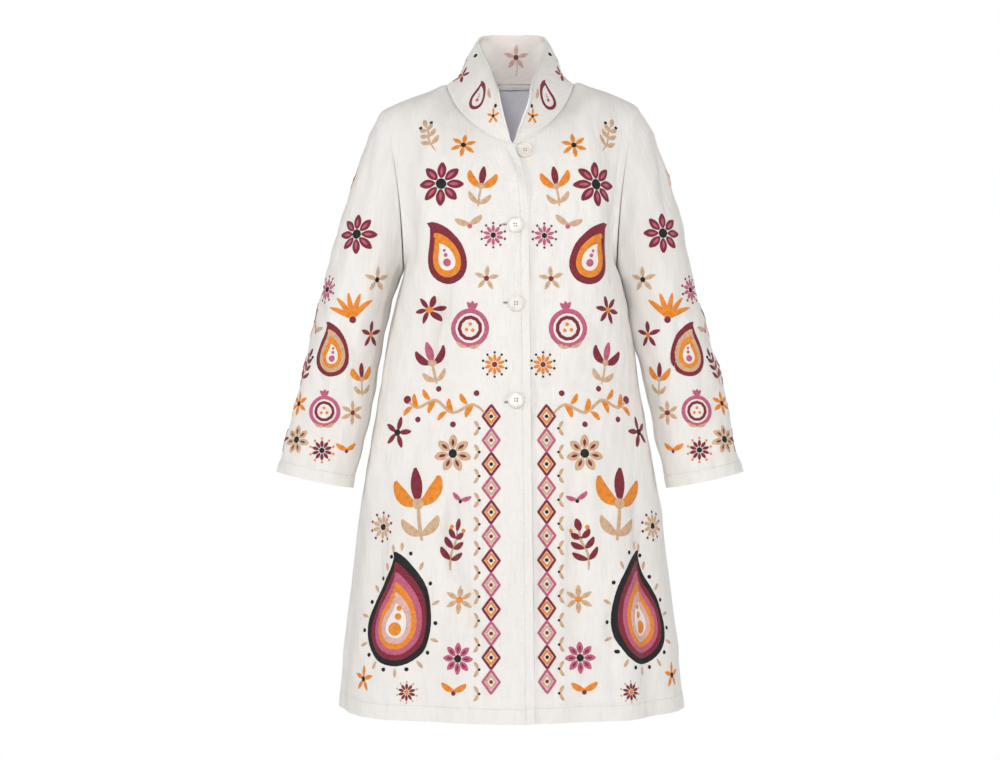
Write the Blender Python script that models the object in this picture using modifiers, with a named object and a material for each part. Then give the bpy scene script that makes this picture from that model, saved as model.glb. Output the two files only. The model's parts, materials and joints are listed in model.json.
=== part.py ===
"""A long open-necked coat, filled out as worn: cloth panels with real walls, set-in sleeves,
a stand collar, its lining at the neck, a hanger loop and four buttons.

Metres, +Z up. The wearer faces -Y, so the wearer's left is +X. The origin is midway between
the neck ends of the two shoulder seams, where the wearer's shoulders hold the coat up.
"""

import math

import bmesh
import bpy
import numpy as np
from mathutils import Matrix, Vector
from mathutils.bvhtree import BVHTree

# Driving sizes of the coat
HEM_HEIGHT = -0.9535
UNDERARM_HEIGHT = -0.282
SHOULDER_HALF = 0.196
# The wearer's left shoulder, at +X, stands a little higher
SHOULDER_DROP = {-1: 0.0325, 1: 0.0265}
SHOULDER_ROUNDING = {-1: 1.5, 1: 1.9}
SHOULDER_CROWN = {-1: 0.001, 1: 0.005}
NECK_HALF = 0.096
NECK_FRONT_DROP = 0.0915
NECK_FRONT_DEPTH = 0.087
NECK_BACK_RISE = 0.017
NECK_BACK_DEPTH = 0.058
ARMHOLE_HALF_WIDTH_FRONT = 0.064
ARMHOLE_HALF_WIDTH_BACK = 0.070
# How fast each seam's curve turns: powers of the sine and cosine along it
ARMHOLE_IN = 2.2
ARMHOLE_ROUND = 0.9
SHOULDER_SWELL = 0.5
FRONT_NECK_OUT = 4 / 3
FRONT_NECK_IN = 1.2
BACK_NECK_ROUND = 0.9

# Cloth
BODY_WALL = 0.0025
COLLAR_WALL = 0.0030
LINING_WALL = 0.0010
SEAM_GAP = 0.0003
OVERLAP_LIFT = 0.0042

# How finely the panels are divided. Neighbours share their divisions along every seam.
LOWER_ROWS = 18
UPPER_ROWS = 10
FRONT_NECK_STEPS = 9
BACK_NECK_STEPS = 14
SHOULDER_STEPS = 6
SLEEVE_CAP_ROWS = 7
SLEEVE_ARM_ROWS = 15
FRONT_STEPS = FRONT_NECK_STEPS + SHOULDER_STEPS
BACK_STEPS = BACK_NECK_STEPS + 2 * SHOULDER_STEPS
ALL_ROWS = LOWER_ROWS + UPPER_ROWS
COLLAR_ROWS = 6
SEAM_EVENING = 2
SHARP_ANGLE = 50

# Rings round the body below the underarm, from the hem up
# height, half width, depth in front, depth behind, squareness
BODY_RINGS = (
    (-0.9535, 0.2665, 0.176, 0.166, 0.010),
    (-0.850, 0.2570, 0.167, 0.158, 0.015),
    (-0.740, 0.2440, 0.156, 0.147, 0.020),
    (-0.650, 0.2325, 0.146, 0.136, 0.030),
    (-0.580, 0.2205, 0.137, 0.126, 0.035),
    (-0.470, 0.2010, 0.125, 0.112, 0.045),
    (-0.380, 0.1885, 0.120, 0.105, 0.050),
    (-0.320, 0.1745, 0.121, 0.106, 0.060),
    (-0.282, 0.1640, 0.123, 0.108, 0.065),
    (-0.200, 0.1600, 0.124, 0.112, 0.065),
)

# Soft folds that hang from the waist to the hem
# degrees from the centre front, height where it starts, degrees it drifts, depth at the hem,
# width in degrees
FOLDS = (
    (-74, -0.42, -3, -0.0070, 9),
    (-52, -0.50, 4, 0.0060, 10),
    (-27, -0.40, 3, -0.0060, 8),
    (24, -0.46, -2, -0.0055, 8),
    (38, -0.36, 3, 0.0060, 9),
    (56, -0.44, -3, -0.0075, 9),
    (80, -0.50, 2, 0.0020, 10),
    (112, -0.34, 4, -0.0070, 10),
    (136, -0.42, -2, 0.0070, 10),
    (163, -0.30, 3, -0.0065, 9),
    (186, -0.38, -3, 0.0070, 10),
    (211, -0.34, 2, -0.0070, 10),
    (238, -0.44, 4, 0.0065, 10),
    (262, -0.50, -2, -0.0055, 9),
)

# Each front: the wearer's side it is on, how far its free edge passes the middle at the chest
# and at the hem, where its neckline ends, the pull of its top corner, and its lift off the base
FRONTS = {
    "front_right": {
        "side": -1,
        "chest_edge": 0.0282,
        "hem_edge": 0.0351,
        "neck_end": -0.001,
        "pull": 0.50,
        "lift": OVERLAP_LIFT,
    },
    "front_left": {
        "side": 1,
        "chest_edge": 0.013,
        "hem_edge": 0.010,
        "neck_end": 0.005,
        "pull": 0.33,
        "lift": 0.0,
    },
}
# The pull with which the cloth arrives at the shoulder seam, as shares of the line's length
FRONT_ARRIVE = (0.0, 0.62, 0.25)
BACK_ARRIVE = (0.0, -0.62, 0.25)
# The same at the fronts' free edges and at the centre back: how far it leans in, and how it climbs
FREE_EDGE_LEAN = 0.30
FREE_EDGE_CLIMB = 0.85
CENTRE_BACK_LEAN = 0.15
CENTRE_BACK_CLIMB = 0.80
NECK_FULLNESS = 0.24
SLEEVE_SIDE_FALLOFF = 1.6
NECK_PINCH = 0.50
LIFT_FULL_TO = 0.022
LIFT_GONE_AT = 0.120

# Sleeves: lean from upright in degrees, and the sections down the arm
SLEEVE_LEAN = {"sleeve_right": 11.9, "sleeve_left": 12.2}
SLEEVE_TOP_INNER = (0.1800, -0.330)
SLEEVE_LENGTH_BELOW_TOP = 0.292
SLEEVE_FORWARD = 0.034
SLEEVE_BEND = 1.6
# The sleeve cap leaves its seam outward, more so at the shoulder, and swells to front and back
CAP_SPREAD = 0.05
CAP_SPREAD_AT_TOP = 0.50
CAP_SWELL = 0.25
CAP_PULL = 0.70
CAP_PULL_LESS_AT_TOP = 0.05
# share of the way to the cuff, half width seen from the front, half depth
ARM_RINGS = (
    (0.00, 0.0550, 0.0670),
    (0.30, 0.0575, 0.0610),
    (0.55, 0.0590, 0.0560),
    (0.80, 0.0592, 0.0500),
    (1.00, 0.0592, 0.0455),
)

# The collar's top edge from the centre back to a front corner
# share of the half collar, out from the middle, depth, height
COLLAR_TOP = (
    (0.00, 0.0000, 0.0470, 0.0912),
    (0.18, 0.0400, 0.0450, 0.0905),
    (0.32, 0.0535, 0.0300, 0.0815),
    (0.46, 0.0470, 0.0050, 0.0585),
    (0.64, 0.0385, -0.0240, 0.0360),
    (0.82, 0.0310, -0.0530, 0.0100),
    (1.00, 0.0270, -0.0790, -0.0135),
)
COLLAR_SHIFT_BACK = 0.003
COLLAR_SHIFT_FRONT = 0.007
COLLAR_SHOULDER_SHARE = 0.43
COLLAR_BULGE = 0.021
COLLAR_BULGE_FULL_FROM = 0.22
COLLAR_BULGE_FORWARD = 1.4
# How far along the way up the collar's curve is drawn, by its two middle control points
COLLAR_LOW_PULL = (0.40, 0.40, 0.22)
COLLAR_HIGH_PULL = (0.10, 0.10, 0.38)

# Buttons: across from the middle, height, and the front that each sits on
BUTTONS = (
    (0.0220, -0.1060, "front_left"),
    (0.0070, -0.2209, "front_right"),
    (0.0083, -0.3367, "front_right"),
    (0.0083, -0.4808, "front_right"),
)
BUTTON_RADIUS = 0.0125
BUTTON_THICKNESS = 0.0036
BUTTON_ROUNDING = 0.0008
BUTTON_RIM = 0.0022
BUTTON_DISH = 0.0009
BUTTON_HOLE_RADIUS = 0.0011
BUTTON_HOLE_FROM_MIDDLE = 0.0025
BUTTON_SIDES = 24
HOLE_SIDES = 10

# The lining behind the neck: how many of the back's rows and columns it takes in
LINING_ROWS = 9
LINING_FIRST_COLUMN = SHOULDER_STEPS + 2
LINING_BELOW_SEAM = 0.001

LOOP_HALF_LENGTH = 0.030
LOOP_MIDDLE = 0.0096
LOOP_BELOW_LINING_TOP = 0.0005
LOOP_WIDTH = 0.006
LOOP_THICKNESS = 0.0015
LOOP_OFF_LINING = 0.0008
LOOP_BOW = 0.0010
LOOP_STEPS = 8

COLLECTION = "embroidered_coat"
CUTTERS = "embroidered_coat_cutters"
ABOVE_CLOTH = 0.5
MERGE = 0.00001
BUTTON_ROUGHNESS = 0.35
COLOURS = {
    "cloth": (0.84, 0.81, 0.77),
    "lining": (0.52, 0.49, 0.55),
    "button": (0.86, 0.83, 0.78),
}


def clear_scene():
    for item in list(bpy.data.objects):
        bpy.data.objects.remove(item, do_unlink=True)


def ease(share):
    share = np.clip(share, 0.0, 1.0)
    return share * share * (3.0 - 2.0 * share)


def hermite(t, start, leave, end, arrive):
    """The cubic between two ends with given pulls."""
    t2, t3 = t * t, t * t * t
    return (
        (2 * t3 - 3 * t2 + 1) * start
        + (t3 - 2 * t2 + t) * leave
        + (3 * t2 - 2 * t3) * end
        + (t3 - t2) * arrive
    )


def read_table(rows, column, at):
    """A smooth curve through one column of a table whose first column rises."""
    places = np.array([row[0] for row in rows])
    values = np.array([row[column] for row in rows])
    slopes = np.gradient(values, places)
    low = np.clip(np.searchsorted(places, at) - 1, 0, len(rows) - 2)
    step = places[low + 1] - places[low]
    t = np.clip((at - places[low]) / step, 0.0, 1.0)
    return hermite(t, values[low], slopes[low] * step, values[low + 1], slopes[low + 1] * step)


def point(x, y, z):
    return np.stack(np.broadcast_arrays(x, y, z), axis=-1)


def unit(vectors):
    return vectors / np.maximum(np.linalg.norm(vectors, axis=-1, keepdims=True), 1e-12)


def fold_push(turn, height):
    """How far the hanging folds push the cloth out, at a turn round the body and a height."""
    push = np.zeros(np.broadcast(turn, height).shape)
    for middle, top, drift, depth, width in FOLDS:
        down = np.clip((top - height) / (top - HEM_HEIGHT), 0.0, 1.0)
        off = np.degrees(turn) - middle - drift * down
        off = (off + 180.0) % 360.0 - 180.0
        push = push + depth * ease(down) * np.exp(-((off / width) ** 2))
    return push


def body_ring(turn, height):
    """The body below the underarm. Turn 0 is the centre front, a quarter turn the left side."""
    half = read_table(BODY_RINGS, 1, height)
    front = read_table(BODY_RINGS, 2, height)
    back = read_table(BODY_RINGS, 3, height)
    square = read_table(BODY_RINGS, 4, height)
    depth = np.where(np.cos(turn) > 0, front, back)
    push = fold_push(turn, height)
    x = half * (np.sin(turn) + square * np.sin(3 * turn)) / (1 - square)
    y = -depth * (np.cos(turn) - square * np.cos(3 * turn)) / (1 - square)
    return point(x + push * np.sin(turn), y - push * np.cos(turn), height)


def rise(turn):
    """Which way the body's wall runs at the underarm's height."""
    small = 0.002
    up = np.full(np.shape(turn), UNDERARM_HEIGHT)
    return unit(body_ring(turn, up + small) - body_ring(turn, up - small))


def armhole(side, angle):
    """The armhole seam: 0 at the shoulder, then down the front to pi at the underarm, and up the back."""
    high, low = -SHOULDER_DROP[side], UNDERARM_HEIGHT
    above = (1 + np.cos(angle)) / 2
    width = np.where(np.sin(angle) >= 0, -ARMHOLE_HALF_WIDTH_FRONT, ARMHOLE_HALF_WIDTH_BACK)
    under = float(body_ring(np.array(math.pi / 2), np.array(low))[0])
    x = under + (SHOULDER_HALF - under) * above**ARMHOLE_IN
    y = width * np.abs(np.sin(angle)) ** ARMHOLE_ROUND
    return point(side * x, y, low + (high - low) * above)


def shoulder_seam(side, share):
    """The shoulder seam from the neck, 0, to the sleeve, 1."""
    x = NECK_HALF + (SHOULDER_HALF - NECK_HALF) * share
    crown = SHOULDER_CROWN[side] * np.sin(math.pi * share**SHOULDER_SWELL)
    return point(side * x, 0.0, crown - SHOULDER_DROP[side] * share ** SHOULDER_ROUNDING[side])


def front_neckline(side, end, share):
    """A front's neckline from its free edge, 0, to the shoulder seam, 1."""
    along, fall = np.sin(share * math.pi / 2), np.cos(share * math.pi / 2)
    x = side * (end + (NECK_HALF - end) * along**FRONT_NECK_OUT)
    fall = np.maximum(fall, 0.0)
    y = -NECK_FRONT_DEPTH * fall**FRONT_NECK_IN
    return point(x, y, -NECK_FRONT_DROP * fall**FRONT_NECK_OUT)


def back_neckline(side, share):
    """The back neckline from the shoulder seam, 0, to the centre back, 1."""
    along, fall = np.sin(share * math.pi / 2), np.cos(share * math.pi / 2)
    x = side * NECK_HALF * fall**BACK_NECK_ROUND
    return point(x, NECK_BACK_DEPTH * along**BACK_NECK_ROUND, NECK_BACK_RISE * along)


def pick(mask, one, other):
    """Points of the first kind where the mask holds, and else of the other."""
    return np.where(mask[..., None], one, other)


def upper_panel(turn, share, across, top, arrive, side, angle, edge_arrive):
    """Cloth above the underarm: each upright line leaves the ring below it, ends on the top
    edge, and near the sleeve gives way to the armhole seam."""
    base = body_ring(turn, np.full(np.shape(turn), UNDERARM_HEIGHT))
    length = np.linalg.norm(top - base, axis=-1, keepdims=True)
    t = share[..., None]
    line = hermite(t, base, rise(turn) * length, top, arrive * length)
    side_turn = np.full(np.shape(turn), side * math.pi / 2)
    corner = body_ring(side_turn, np.full(np.shape(turn), UNDERARM_HEIGHT))
    tip = shoulder_seam(side, np.ones(np.shape(turn)))
    reach = np.linalg.norm(tip - corner, axis=-1, keepdims=True)
    edge = hermite(t, corner, rise(side_turn) * reach, tip, np.array(edge_arrive) * reach)
    seam = armhole(side, math.pi * angle * (1 - share))
    return line + (np.clip(across, 0, 1)[..., None] ** SLEEVE_SIDE_FALLOFF) * (seam - edge)


def front(name, u, v):
    """A front panel: u from its free edge to the side, v from the hem up."""
    facts = FRONTS[name]
    side = facts["side"]
    lower = LOWER_ROWS / ALL_ROWS
    height = HEM_HEIGHT + (UNDERARM_HEIGHT - HEM_HEIGHT) * np.clip(v / lower, 0, 1)
    down = (UNDERARM_HEIGHT - height) / (UNDERARM_HEIGHT - HEM_HEIGHT)
    edge = facts["chest_edge"] + (facts["hem_edge"] - facts["chest_edge"]) * down
    half = read_table(BODY_RINGS, 1, height)
    square = read_table(BODY_RINGS, 4, height)
    start = -edge * (1 - square) / (half * (1 + 3 * square))
    turn = side * (start + (math.pi / 2 - start) * u)
    below = body_ring(turn, height)
    neck_share = FRONT_NECK_STEPS / FRONT_STEPS
    on_neck = u < neck_share
    neck_at = np.clip(u / neck_share, 0, 1)
    seam_at = np.clip((u - neck_share) / (1 - neck_share), 0, 1)
    neck = front_neckline(side, facts["neck_end"], neck_at)
    top = pick(on_neck, neck, shoulder_seam(side, seam_at))
    near_neck = NECK_FULLNESS * (1 - seam_at) ** 2
    on_shoulder = FRONT_ARRIVE[1] + 0.5 * near_neck
    lean_back = FREE_EDGE_LEAN + (on_shoulder - FREE_EDGE_LEAN) * ease(neck_at)
    pinch = NECK_PINCH * np.where(on_neck, np.sin(neck_at * math.pi / 2) ** 1.5, (1 - seam_at) ** 2)
    pull = side * (facts["pull"] * (1 - neck_at) ** 2 - pinch)
    climb = FREE_EDGE_CLIMB + (FRONT_ARRIVE[2] - FREE_EDGE_CLIMB) * ease(neck_at)
    arrive = point(pull, lean_back, climb)
    share = np.clip((v - lower) / (1 - lower), 0, 1)
    above = upper_panel(turn, share, u, top, arrive, side, 1, FRONT_ARRIVE)
    cloth = pick(v < lower, below, above)
    from_middle = side * cloth[..., 0]
    gone = ease((from_middle - LIFT_FULL_TO) / (LIFT_GONE_AT - LIFT_FULL_TO))
    lift = facts["lift"] * (1 - gone)
    return cloth + point(0.0, -lift, 0.0)


def back(u, v):
    """The back panel: u from -1 at the right side to 1 at the left, v from the hem up."""
    side = np.where(u < 0, -1, 1)
    out = np.abs(u)
    lower = LOWER_ROWS / ALL_ROWS
    height = HEM_HEIGHT + (UNDERARM_HEIGHT - HEM_HEIGHT) * np.clip(v / lower, 0, 1)
    turn = math.pi - u * math.pi / 2
    below = body_ring(turn, height)
    neck_share = BACK_NECK_STEPS / BACK_STEPS
    neck_at = np.clip(1 - out / neck_share, 0, 1)
    seam_at = np.clip((out - neck_share) / (1 - neck_share), 0, 1)
    on_neck = out < neck_share
    seam = pick(side < 0, shoulder_seam(-1, seam_at), shoulder_seam(1, seam_at))
    top = pick(on_neck, back_neckline(side, neck_at), seam)
    steepness = ease(neck_at) ** 1.5
    climb = BACK_ARRIVE[2] + (CENTRE_BACK_CLIMB - BACK_ARRIVE[2]) * steepness
    near_neck = NECK_FULLNESS * (1 - seam_at) ** 2
    backward = BACK_ARRIVE[1] - near_neck + (CENTRE_BACK_LEAN + NECK_FULLNESS) * steepness
    pinch = NECK_PINCH * np.where(on_neck, np.cos(neck_at * math.pi / 2) ** 1.5, (1 - seam_at) ** 2)
    arrive = point(-side * pinch, backward, climb)
    share = np.clip((v - lower) / (1 - lower), 0, 1)
    left = upper_panel(turn, share, out, top, arrive, 1, -1, BACK_ARRIVE)
    right = upper_panel(turn, share, out, top, arrive, -1, -1, BACK_ARRIVE)
    return pick(v < lower, below, pick(u < 0, right, left))


def arm_ring(side, lean, angle, share):
    """A ring round the arm below the sleeve cap, at a share of the way to the cuff."""
    down = np.array((side * math.sin(lean), 0.0, -math.cos(lean)))
    out = np.array((side * math.cos(lean), 0.0, math.sin(lean)))
    half = read_table(ARM_RINGS, 1, share)
    deep = read_table(ARM_RINGS, 2, share)
    inner_x, inner_z = SLEEVE_TOP_INNER
    along = share[..., None] * down * SLEEVE_LENGTH_BELOW_TOP
    inner = np.array((side * inner_x, 0.0, inner_z)) + along
    middle = inner + out * half[..., None] + point(0.0, -SLEEVE_FORWARD * share**SLEEVE_BEND, 0.0)
    return middle + out * (half * np.cos(angle))[..., None] + point(0.0, -deep * np.sin(angle), 0.0)


def sleeve(name, angle, v):
    """A sleeve: angle round it from the shoulder down the front, v from the armhole to the cuff."""
    side = -1 if name == "sleeve_right" else 1
    lean = math.radians(SLEEVE_LEAN[name])
    cap = SLEEVE_CAP_ROWS / (SLEEVE_CAP_ROWS + SLEEVE_ARM_ROWS)
    arm = arm_ring(side, lean, angle, np.clip((v - cap) / (1 - cap), 0, 1))
    seam = armhole(side, angle)
    ring = arm_ring(side, lean, angle, np.zeros(np.shape(angle)))
    reach = np.linalg.norm(ring - seam, axis=-1, keepdims=True)
    above = (1 + np.cos(angle)) / 2
    down = np.array((side * math.sin(lean), 0.0, -math.cos(lean)))
    spread = side * (CAP_SPREAD + CAP_SPREAD_AT_TOP * above)
    leave = unit(down + point(spread, -CAP_SWELL * np.sin(angle), 0.0))
    pull = reach * (CAP_PULL - CAP_PULL_LESS_AT_TOP * above[..., None])
    t = np.clip(v / cap, 0, 1)[..., None]
    over = hermite(t, seam, leave * pull, ring, down * reach)
    return pick(v < cap, over, arm)


def neck_seam(share):
    """The seam that the collar stands on, from the right front end, -1, to the left, 1."""
    side = np.where(share < 0, -1, 1)
    out = np.abs(share)
    on_back = out < COLLAR_SHOULDER_SHARE
    back_at = np.clip(1 - out / COLLAR_SHOULDER_SHARE, 0, 1)
    front_at = np.clip((1 - out) / (1 - COLLAR_SHOULDER_SHARE), 0, 1)
    neck_share = FRONT_NECK_STEPS / FRONT_STEPS
    right = front("front_right", front_at * neck_share, np.ones(np.shape(share)))
    left = front("front_left", front_at * neck_share, np.ones(np.shape(share)))
    return pick(on_back, back_neckline(side, back_at), pick(side < 0, right, left))


def collar(share, v):
    """The collar: share from the right front end to the left, v from the neck seam to the top edge."""
    out = np.abs(share)
    low = neck_seam(share)
    shift = COLLAR_SHIFT_BACK + (COLLAR_SHIFT_FRONT - COLLAR_SHIFT_BACK) * out**2
    x = np.sign(share) * read_table(COLLAR_TOP, 1, out) + shift
    high = point(x, read_table(COLLAR_TOP, 2, out), read_table(COLLAR_TOP, 3, out))
    across = high - low
    away = unit(point(low[..., 0], low[..., 1] * COLLAR_BULGE_FORWARD, 0.0 * out))
    bulge = COLLAR_BULGE * np.clip(out / COLLAR_BULGE_FULL_FROM, 0, 1)
    first = low + across * np.array(COLLAR_LOW_PULL)
    second = high - across * np.array(COLLAR_HIGH_PULL) + away * bulge[..., None]
    t = v[..., None]
    s = 1 - t
    return s**3 * low + 3 * t * s**2 * first + 3 * t**2 * s * second + t**3 * high


def facing(points, outward, tube=False):
    """Unit directions out of a grid of points, averaged over the faces round each point."""
    if tube:
        points = np.concatenate([points, points[:, :1]], axis=1)
    faces = np.cross(points[1:, 1:] - points[:-1, :-1], points[1:, :-1] - points[:-1, 1:])
    total = np.zeros_like(points)
    for row in (slice(0, -1), slice(1, None)):
        for column in (slice(0, -1), slice(1, None)):
            total[row, column] += faces
    if tube:
        total[:, 0] += total[:, -1]
        total = total[:, :-1]
    return unit(total) * outward


def grid_of(columns, rows):
    return np.meshgrid(columns, rows)


def inward(edge, beside):
    """Directions in from an edge of the cloth, square to the edge."""
    along = unit(np.gradient(edge, axis=0))
    across = beside - edge
    return unit(across - along * np.sum(across * along, axis=-1, keepdims=True))


def pull_in(points, first_row=0.0, last_row=0.0, first_column=0.0, last_column=0.0):
    """Moves a panel's edges in from its seams along the cloth."""
    moved = points.copy()
    moved[0] += inward(points[0], points[1]) * first_row
    moved[-1] += inward(points[-1], points[-2]) * last_row
    moved[:, 0] += inward(points[:, 0], points[:, 1]) * first_column
    moved[:, -1] += inward(points[:, -1], points[:, -2]) * last_column
    return moved


def material(name, colour, roughness):
    made = bpy.data.materials.new(name)
    made.use_nodes = True
    shader = made.node_tree.nodes["Principled BSDF"]
    shader.inputs["Base Color"].default_value = (*colour, 1.0)
    shader.inputs["Roughness"].default_value = roughness
    shader.inputs["Metallic"].default_value = 0.0
    return made


def add_object(collection, name, mesh, colour, roughness=0.85):
    item = bpy.data.objects.new(name, mesh)
    collection.objects.link(item)
    mesh.materials.append(material(name + "_finish", colour, roughness))
    mesh.shade_smooth()
    mesh.set_sharp_from_angle(angle=math.radians(SHARP_ANGLE))
    return item


def split(places, corners):
    """A four-sided face as two triangles, cut across its shorter diagonal."""
    one, two, three, four = corners
    along = np.linalg.norm(places[three] - places[one])
    across = np.linalg.norm(places[four] - places[two])
    if along < across:
        return [[one, two, three], [one, three, four]]
    return [[one, two, four], [two, three, four]]


def cloth_mesh(name, outer, out, wall, tube=False):
    """A closed wall of cloth: its outer points, the same moved in by the wall, and its rims."""
    rows, columns = outer.shape[:2]
    inner = outer - out * wall
    places = np.concatenate([outer.reshape(-1, 3), inner.reshape(-1, 3)])
    deep = rows * columns

    def at(row, column, layer=0):
        return layer * deep + row * columns + column % columns

    faces = []
    top, side = rows - 1, columns - 1
    for column in range(columns if tube else side):
        for row in range(top):
            corners = ((row, column), (row, column + 1), (row + 1, column + 1), (row + 1, column))
            halves = split(places, [at(*corner) for corner in corners])
            faces += halves
            faces += [[place + deep for place in reversed(half)] for half in halves]
        faces += split(places, [at(0, column + 1), at(0, column), at(0, column, 1), at(0, column + 1, 1)])
        faces += split(places, [at(top, column), at(top, column + 1), at(top, column + 1, 1), at(top, column, 1)])
    if not tube:
        for row in range(top):
            faces += split(places, [at(row, 0), at(row + 1, 0), at(row + 1, 0, 1), at(row, 0, 1)])
            faces += split(places, [at(row + 1, side), at(row, side), at(row, side, 1), at(row + 1, side, 1)])
    mesh = bpy.data.meshes.new(name)
    mesh.from_pydata(places.tolist(), [], faces)
    shape = bmesh.new()
    shape.from_mesh(mesh)
    if shape.calc_volume(signed=True) < 0:
        bmesh.ops.reverse_faces(shape, faces=shape.faces)
    shape.to_mesh(mesh)
    shape.free()
    return mesh


def front_grid():
    return grid_of(np.arange(FRONT_STEPS + 1) / FRONT_STEPS, np.arange(ALL_ROWS + 1) / ALL_ROWS)


def back_grid():
    return grid_of(np.arange(BACK_STEPS + 1) / BACK_STEPS * 2 - 1, np.arange(ALL_ROWS + 1) / ALL_ROWS)


def sleeve_grid():
    around = np.arange(2 * UPPER_ROWS) * math.pi / UPPER_ROWS
    rows = SLEEVE_CAP_ROWS + SLEEVE_ARM_ROWS
    return grid_of(around, np.arange(rows + 1) / rows)


def collar_grid():
    back_part = np.arange(BACK_NECK_STEPS + 1) / BACK_NECK_STEPS * 2 - 1
    front_part = np.arange(1, FRONT_NECK_STEPS + 1) / FRONT_NECK_STEPS
    beyond = COLLAR_SHOULDER_SHARE + (1 - COLLAR_SHOULDER_SHARE) * front_part
    shares = np.concatenate([-beyond[::-1], back_part * COLLAR_SHOULDER_SHARE, beyond])
    return grid_of(shares, np.arange(COLLAR_ROWS + 1) / COLLAR_ROWS)


def cloth_points():
    """Each piece's outer points, row by row from its lower or armhole edge."""
    points = {name: front(name, *front_grid()) for name in FRONTS}
    points["back"] = back(*back_grid())
    for name in SLEEVE_LEAN:
        points[name] = sleeve(name, *sleeve_grid())
    points["collar"] = collar(*collar_grid())
    return points


def body_seams(side):
    """Pairs of places where a front and the back are sewn: up the side, and along the shoulder."""
    name = "front_left" if side > 0 else "front_right"
    edge, onward = (BACK_STEPS, -1) if side > 0 else (0, 1)
    up_side = [((name, row, FRONT_STEPS), ("back", row, edge)) for row in range(LOWER_ROWS + 1)]
    along_shoulder = [
        ((name, ALL_ROWS, FRONT_STEPS - step), ("back", ALL_ROWS, edge + onward * step))
        for step in range(SHOULDER_STEPS + 1)
    ]
    return up_side, along_shoulder


def armhole_places(side):
    """The body's places round an armhole, in the order of the sleeve's own points."""
    name = "front_left" if side > 0 else "front_right"
    edge = BACK_STEPS if side > 0 else 0
    places = [[(name, ALL_ROWS - step, FRONT_STEPS)] for step in range(UPPER_ROWS + 1)]
    places[0].append(("back", ALL_ROWS, edge))
    places[-1].append(("back", LOWER_ROWS, edge))
    return places + [[("back", LOWER_ROWS + step, edge)] for step in range(1, UPPER_ROWS)]


def neckline_places():
    """The body's places round the neckline, in the order of the collar's own points."""
    right = [[("front_right", ALL_ROWS, step)] for step in range(FRONT_NECK_STEPS + 1)]
    left = [[("front_left", ALL_ROWS, step)] for step in reversed(range(FRONT_NECK_STEPS + 1))]
    back_part = [[("back", ALL_ROWS, SHOULDER_STEPS + step)] for step in range(BACK_NECK_STEPS + 1)]
    right[-1] += back_part[0]
    left[0] += back_part[-1]
    return right + back_part[1:-1] + left


def shared(one, other):
    """Directions of a rim, between those of the two cloths that meet there."""
    agree = np.clip((np.sum(one * other, axis=-1, keepdims=True) + 0.3) / 0.5, 0, 1)
    return unit(one + other * agree)


def even_out(directions, closed):
    """Lets the directions along a seam turn evenly, so that no rim is twisted."""
    for _ in range(SEAM_EVENING):
        if closed:
            before, after = np.roll(directions, 1, axis=0), np.roll(directions, -1, axis=0)
        else:
            before = np.concatenate([directions[:1], directions[:-1]])
            after = np.concatenate([directions[1:], directions[-1:]])
        directions = unit(before + 2 * directions + after)
    return directions


def sew(out, places, other, closed=False):
    """Gives a body seam and the piece sewn to it directions that agree along their rims."""
    body = np.array([unit(sum(out[piece][r, c] for piece, r, c in place)) for place in places])
    piece = np.array([out[name][row, column] for name, row, column in other])
    body_rim = even_out(shared(body, piece), closed)
    piece_rim = even_out(shared(piece, body), closed)
    for step, place in enumerate(places):
        name, row, column = other[step]
        out[name][row, column] = piece_rim[step]
        for on_body, r, c in place:
            out[on_body][r, c] = body_rim[step]


def panel_directions(points):
    """Each piece's directions out of the cloth, in agreement along every seam."""
    out = {name: facing(points[name], facts["side"]) for name, facts in FRONTS.items()}
    out["back"] = facing(points["back"], -1)
    out["sleeve_right"] = facing(points["sleeve_right"], -1, tube=True)
    out["sleeve_left"] = facing(points["sleeve_left"], 1, tube=True)
    out["collar"] = facing(points["collar"], -1)
    for side, name in ((-1, "sleeve_right"), (1, "sleeve_left")):
        for seam in body_seams(side):
            sew(out, [[one] for one, _ in seam], [other for _, other in seam])
        ring = armhole_places(side)
        sew(out, ring, [(name, 0, column) for column in range(len(ring))], closed=True)
    neck = neckline_places()
    sew(out, neck, [("collar", 0, column) for column in range(len(neck))])
    return out


def make_cloth(collection):
    points = cloth_points()
    out = panel_directions(points)
    gap = SEAM_GAP / 2
    for name in FRONTS:
        outer = pull_in(points[name], last_row=gap, last_column=gap)
        panel = cloth_mesh(name, outer, out[name], BODY_WALL)
        add_object(collection, name, panel, COLOURS["cloth"])
    outer = pull_in(points["back"], last_row=gap, first_column=gap, last_column=gap)
    panel = cloth_mesh("back", outer, out["back"], BODY_WALL)
    add_object(collection, "back", panel, COLOURS["cloth"])
    for name in SLEEVE_LEAN:
        outer = pull_in(points[name], first_row=gap)
        tube = cloth_mesh(name, outer, out[name], BODY_WALL, tube=True)
        add_object(collection, name, tube, COLOURS["cloth"])
    outer = pull_in(points["collar"], first_row=gap)
    band = cloth_mesh("collar", outer, out["collar"], COLLAR_WALL)
    add_object(collection, "collar", band, COLOURS["cloth"])
    return points, out


def make_lining(collection, points, out):
    """The lining inside the back of the neck. Returns its inner face and directions out of it."""
    rows = slice(ALL_ROWS - LINING_ROWS, ALL_ROWS + 1)
    columns = slice(LINING_FIRST_COLUMN, BACK_STEPS - LINING_FIRST_COLUMN + 1)
    away = out["back"][rows, columns]
    face = points["back"][rows, columns] - away * (BODY_WALL + SEAM_GAP)
    face = pull_in(face, last_row=LINING_BELOW_SEAM)
    sheet = cloth_mesh("back_lining", face, away, LINING_WALL)
    add_object(collection, "back_lining", sheet, COLOURS["lining"])
    return face - away * LINING_WALL, away


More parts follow.
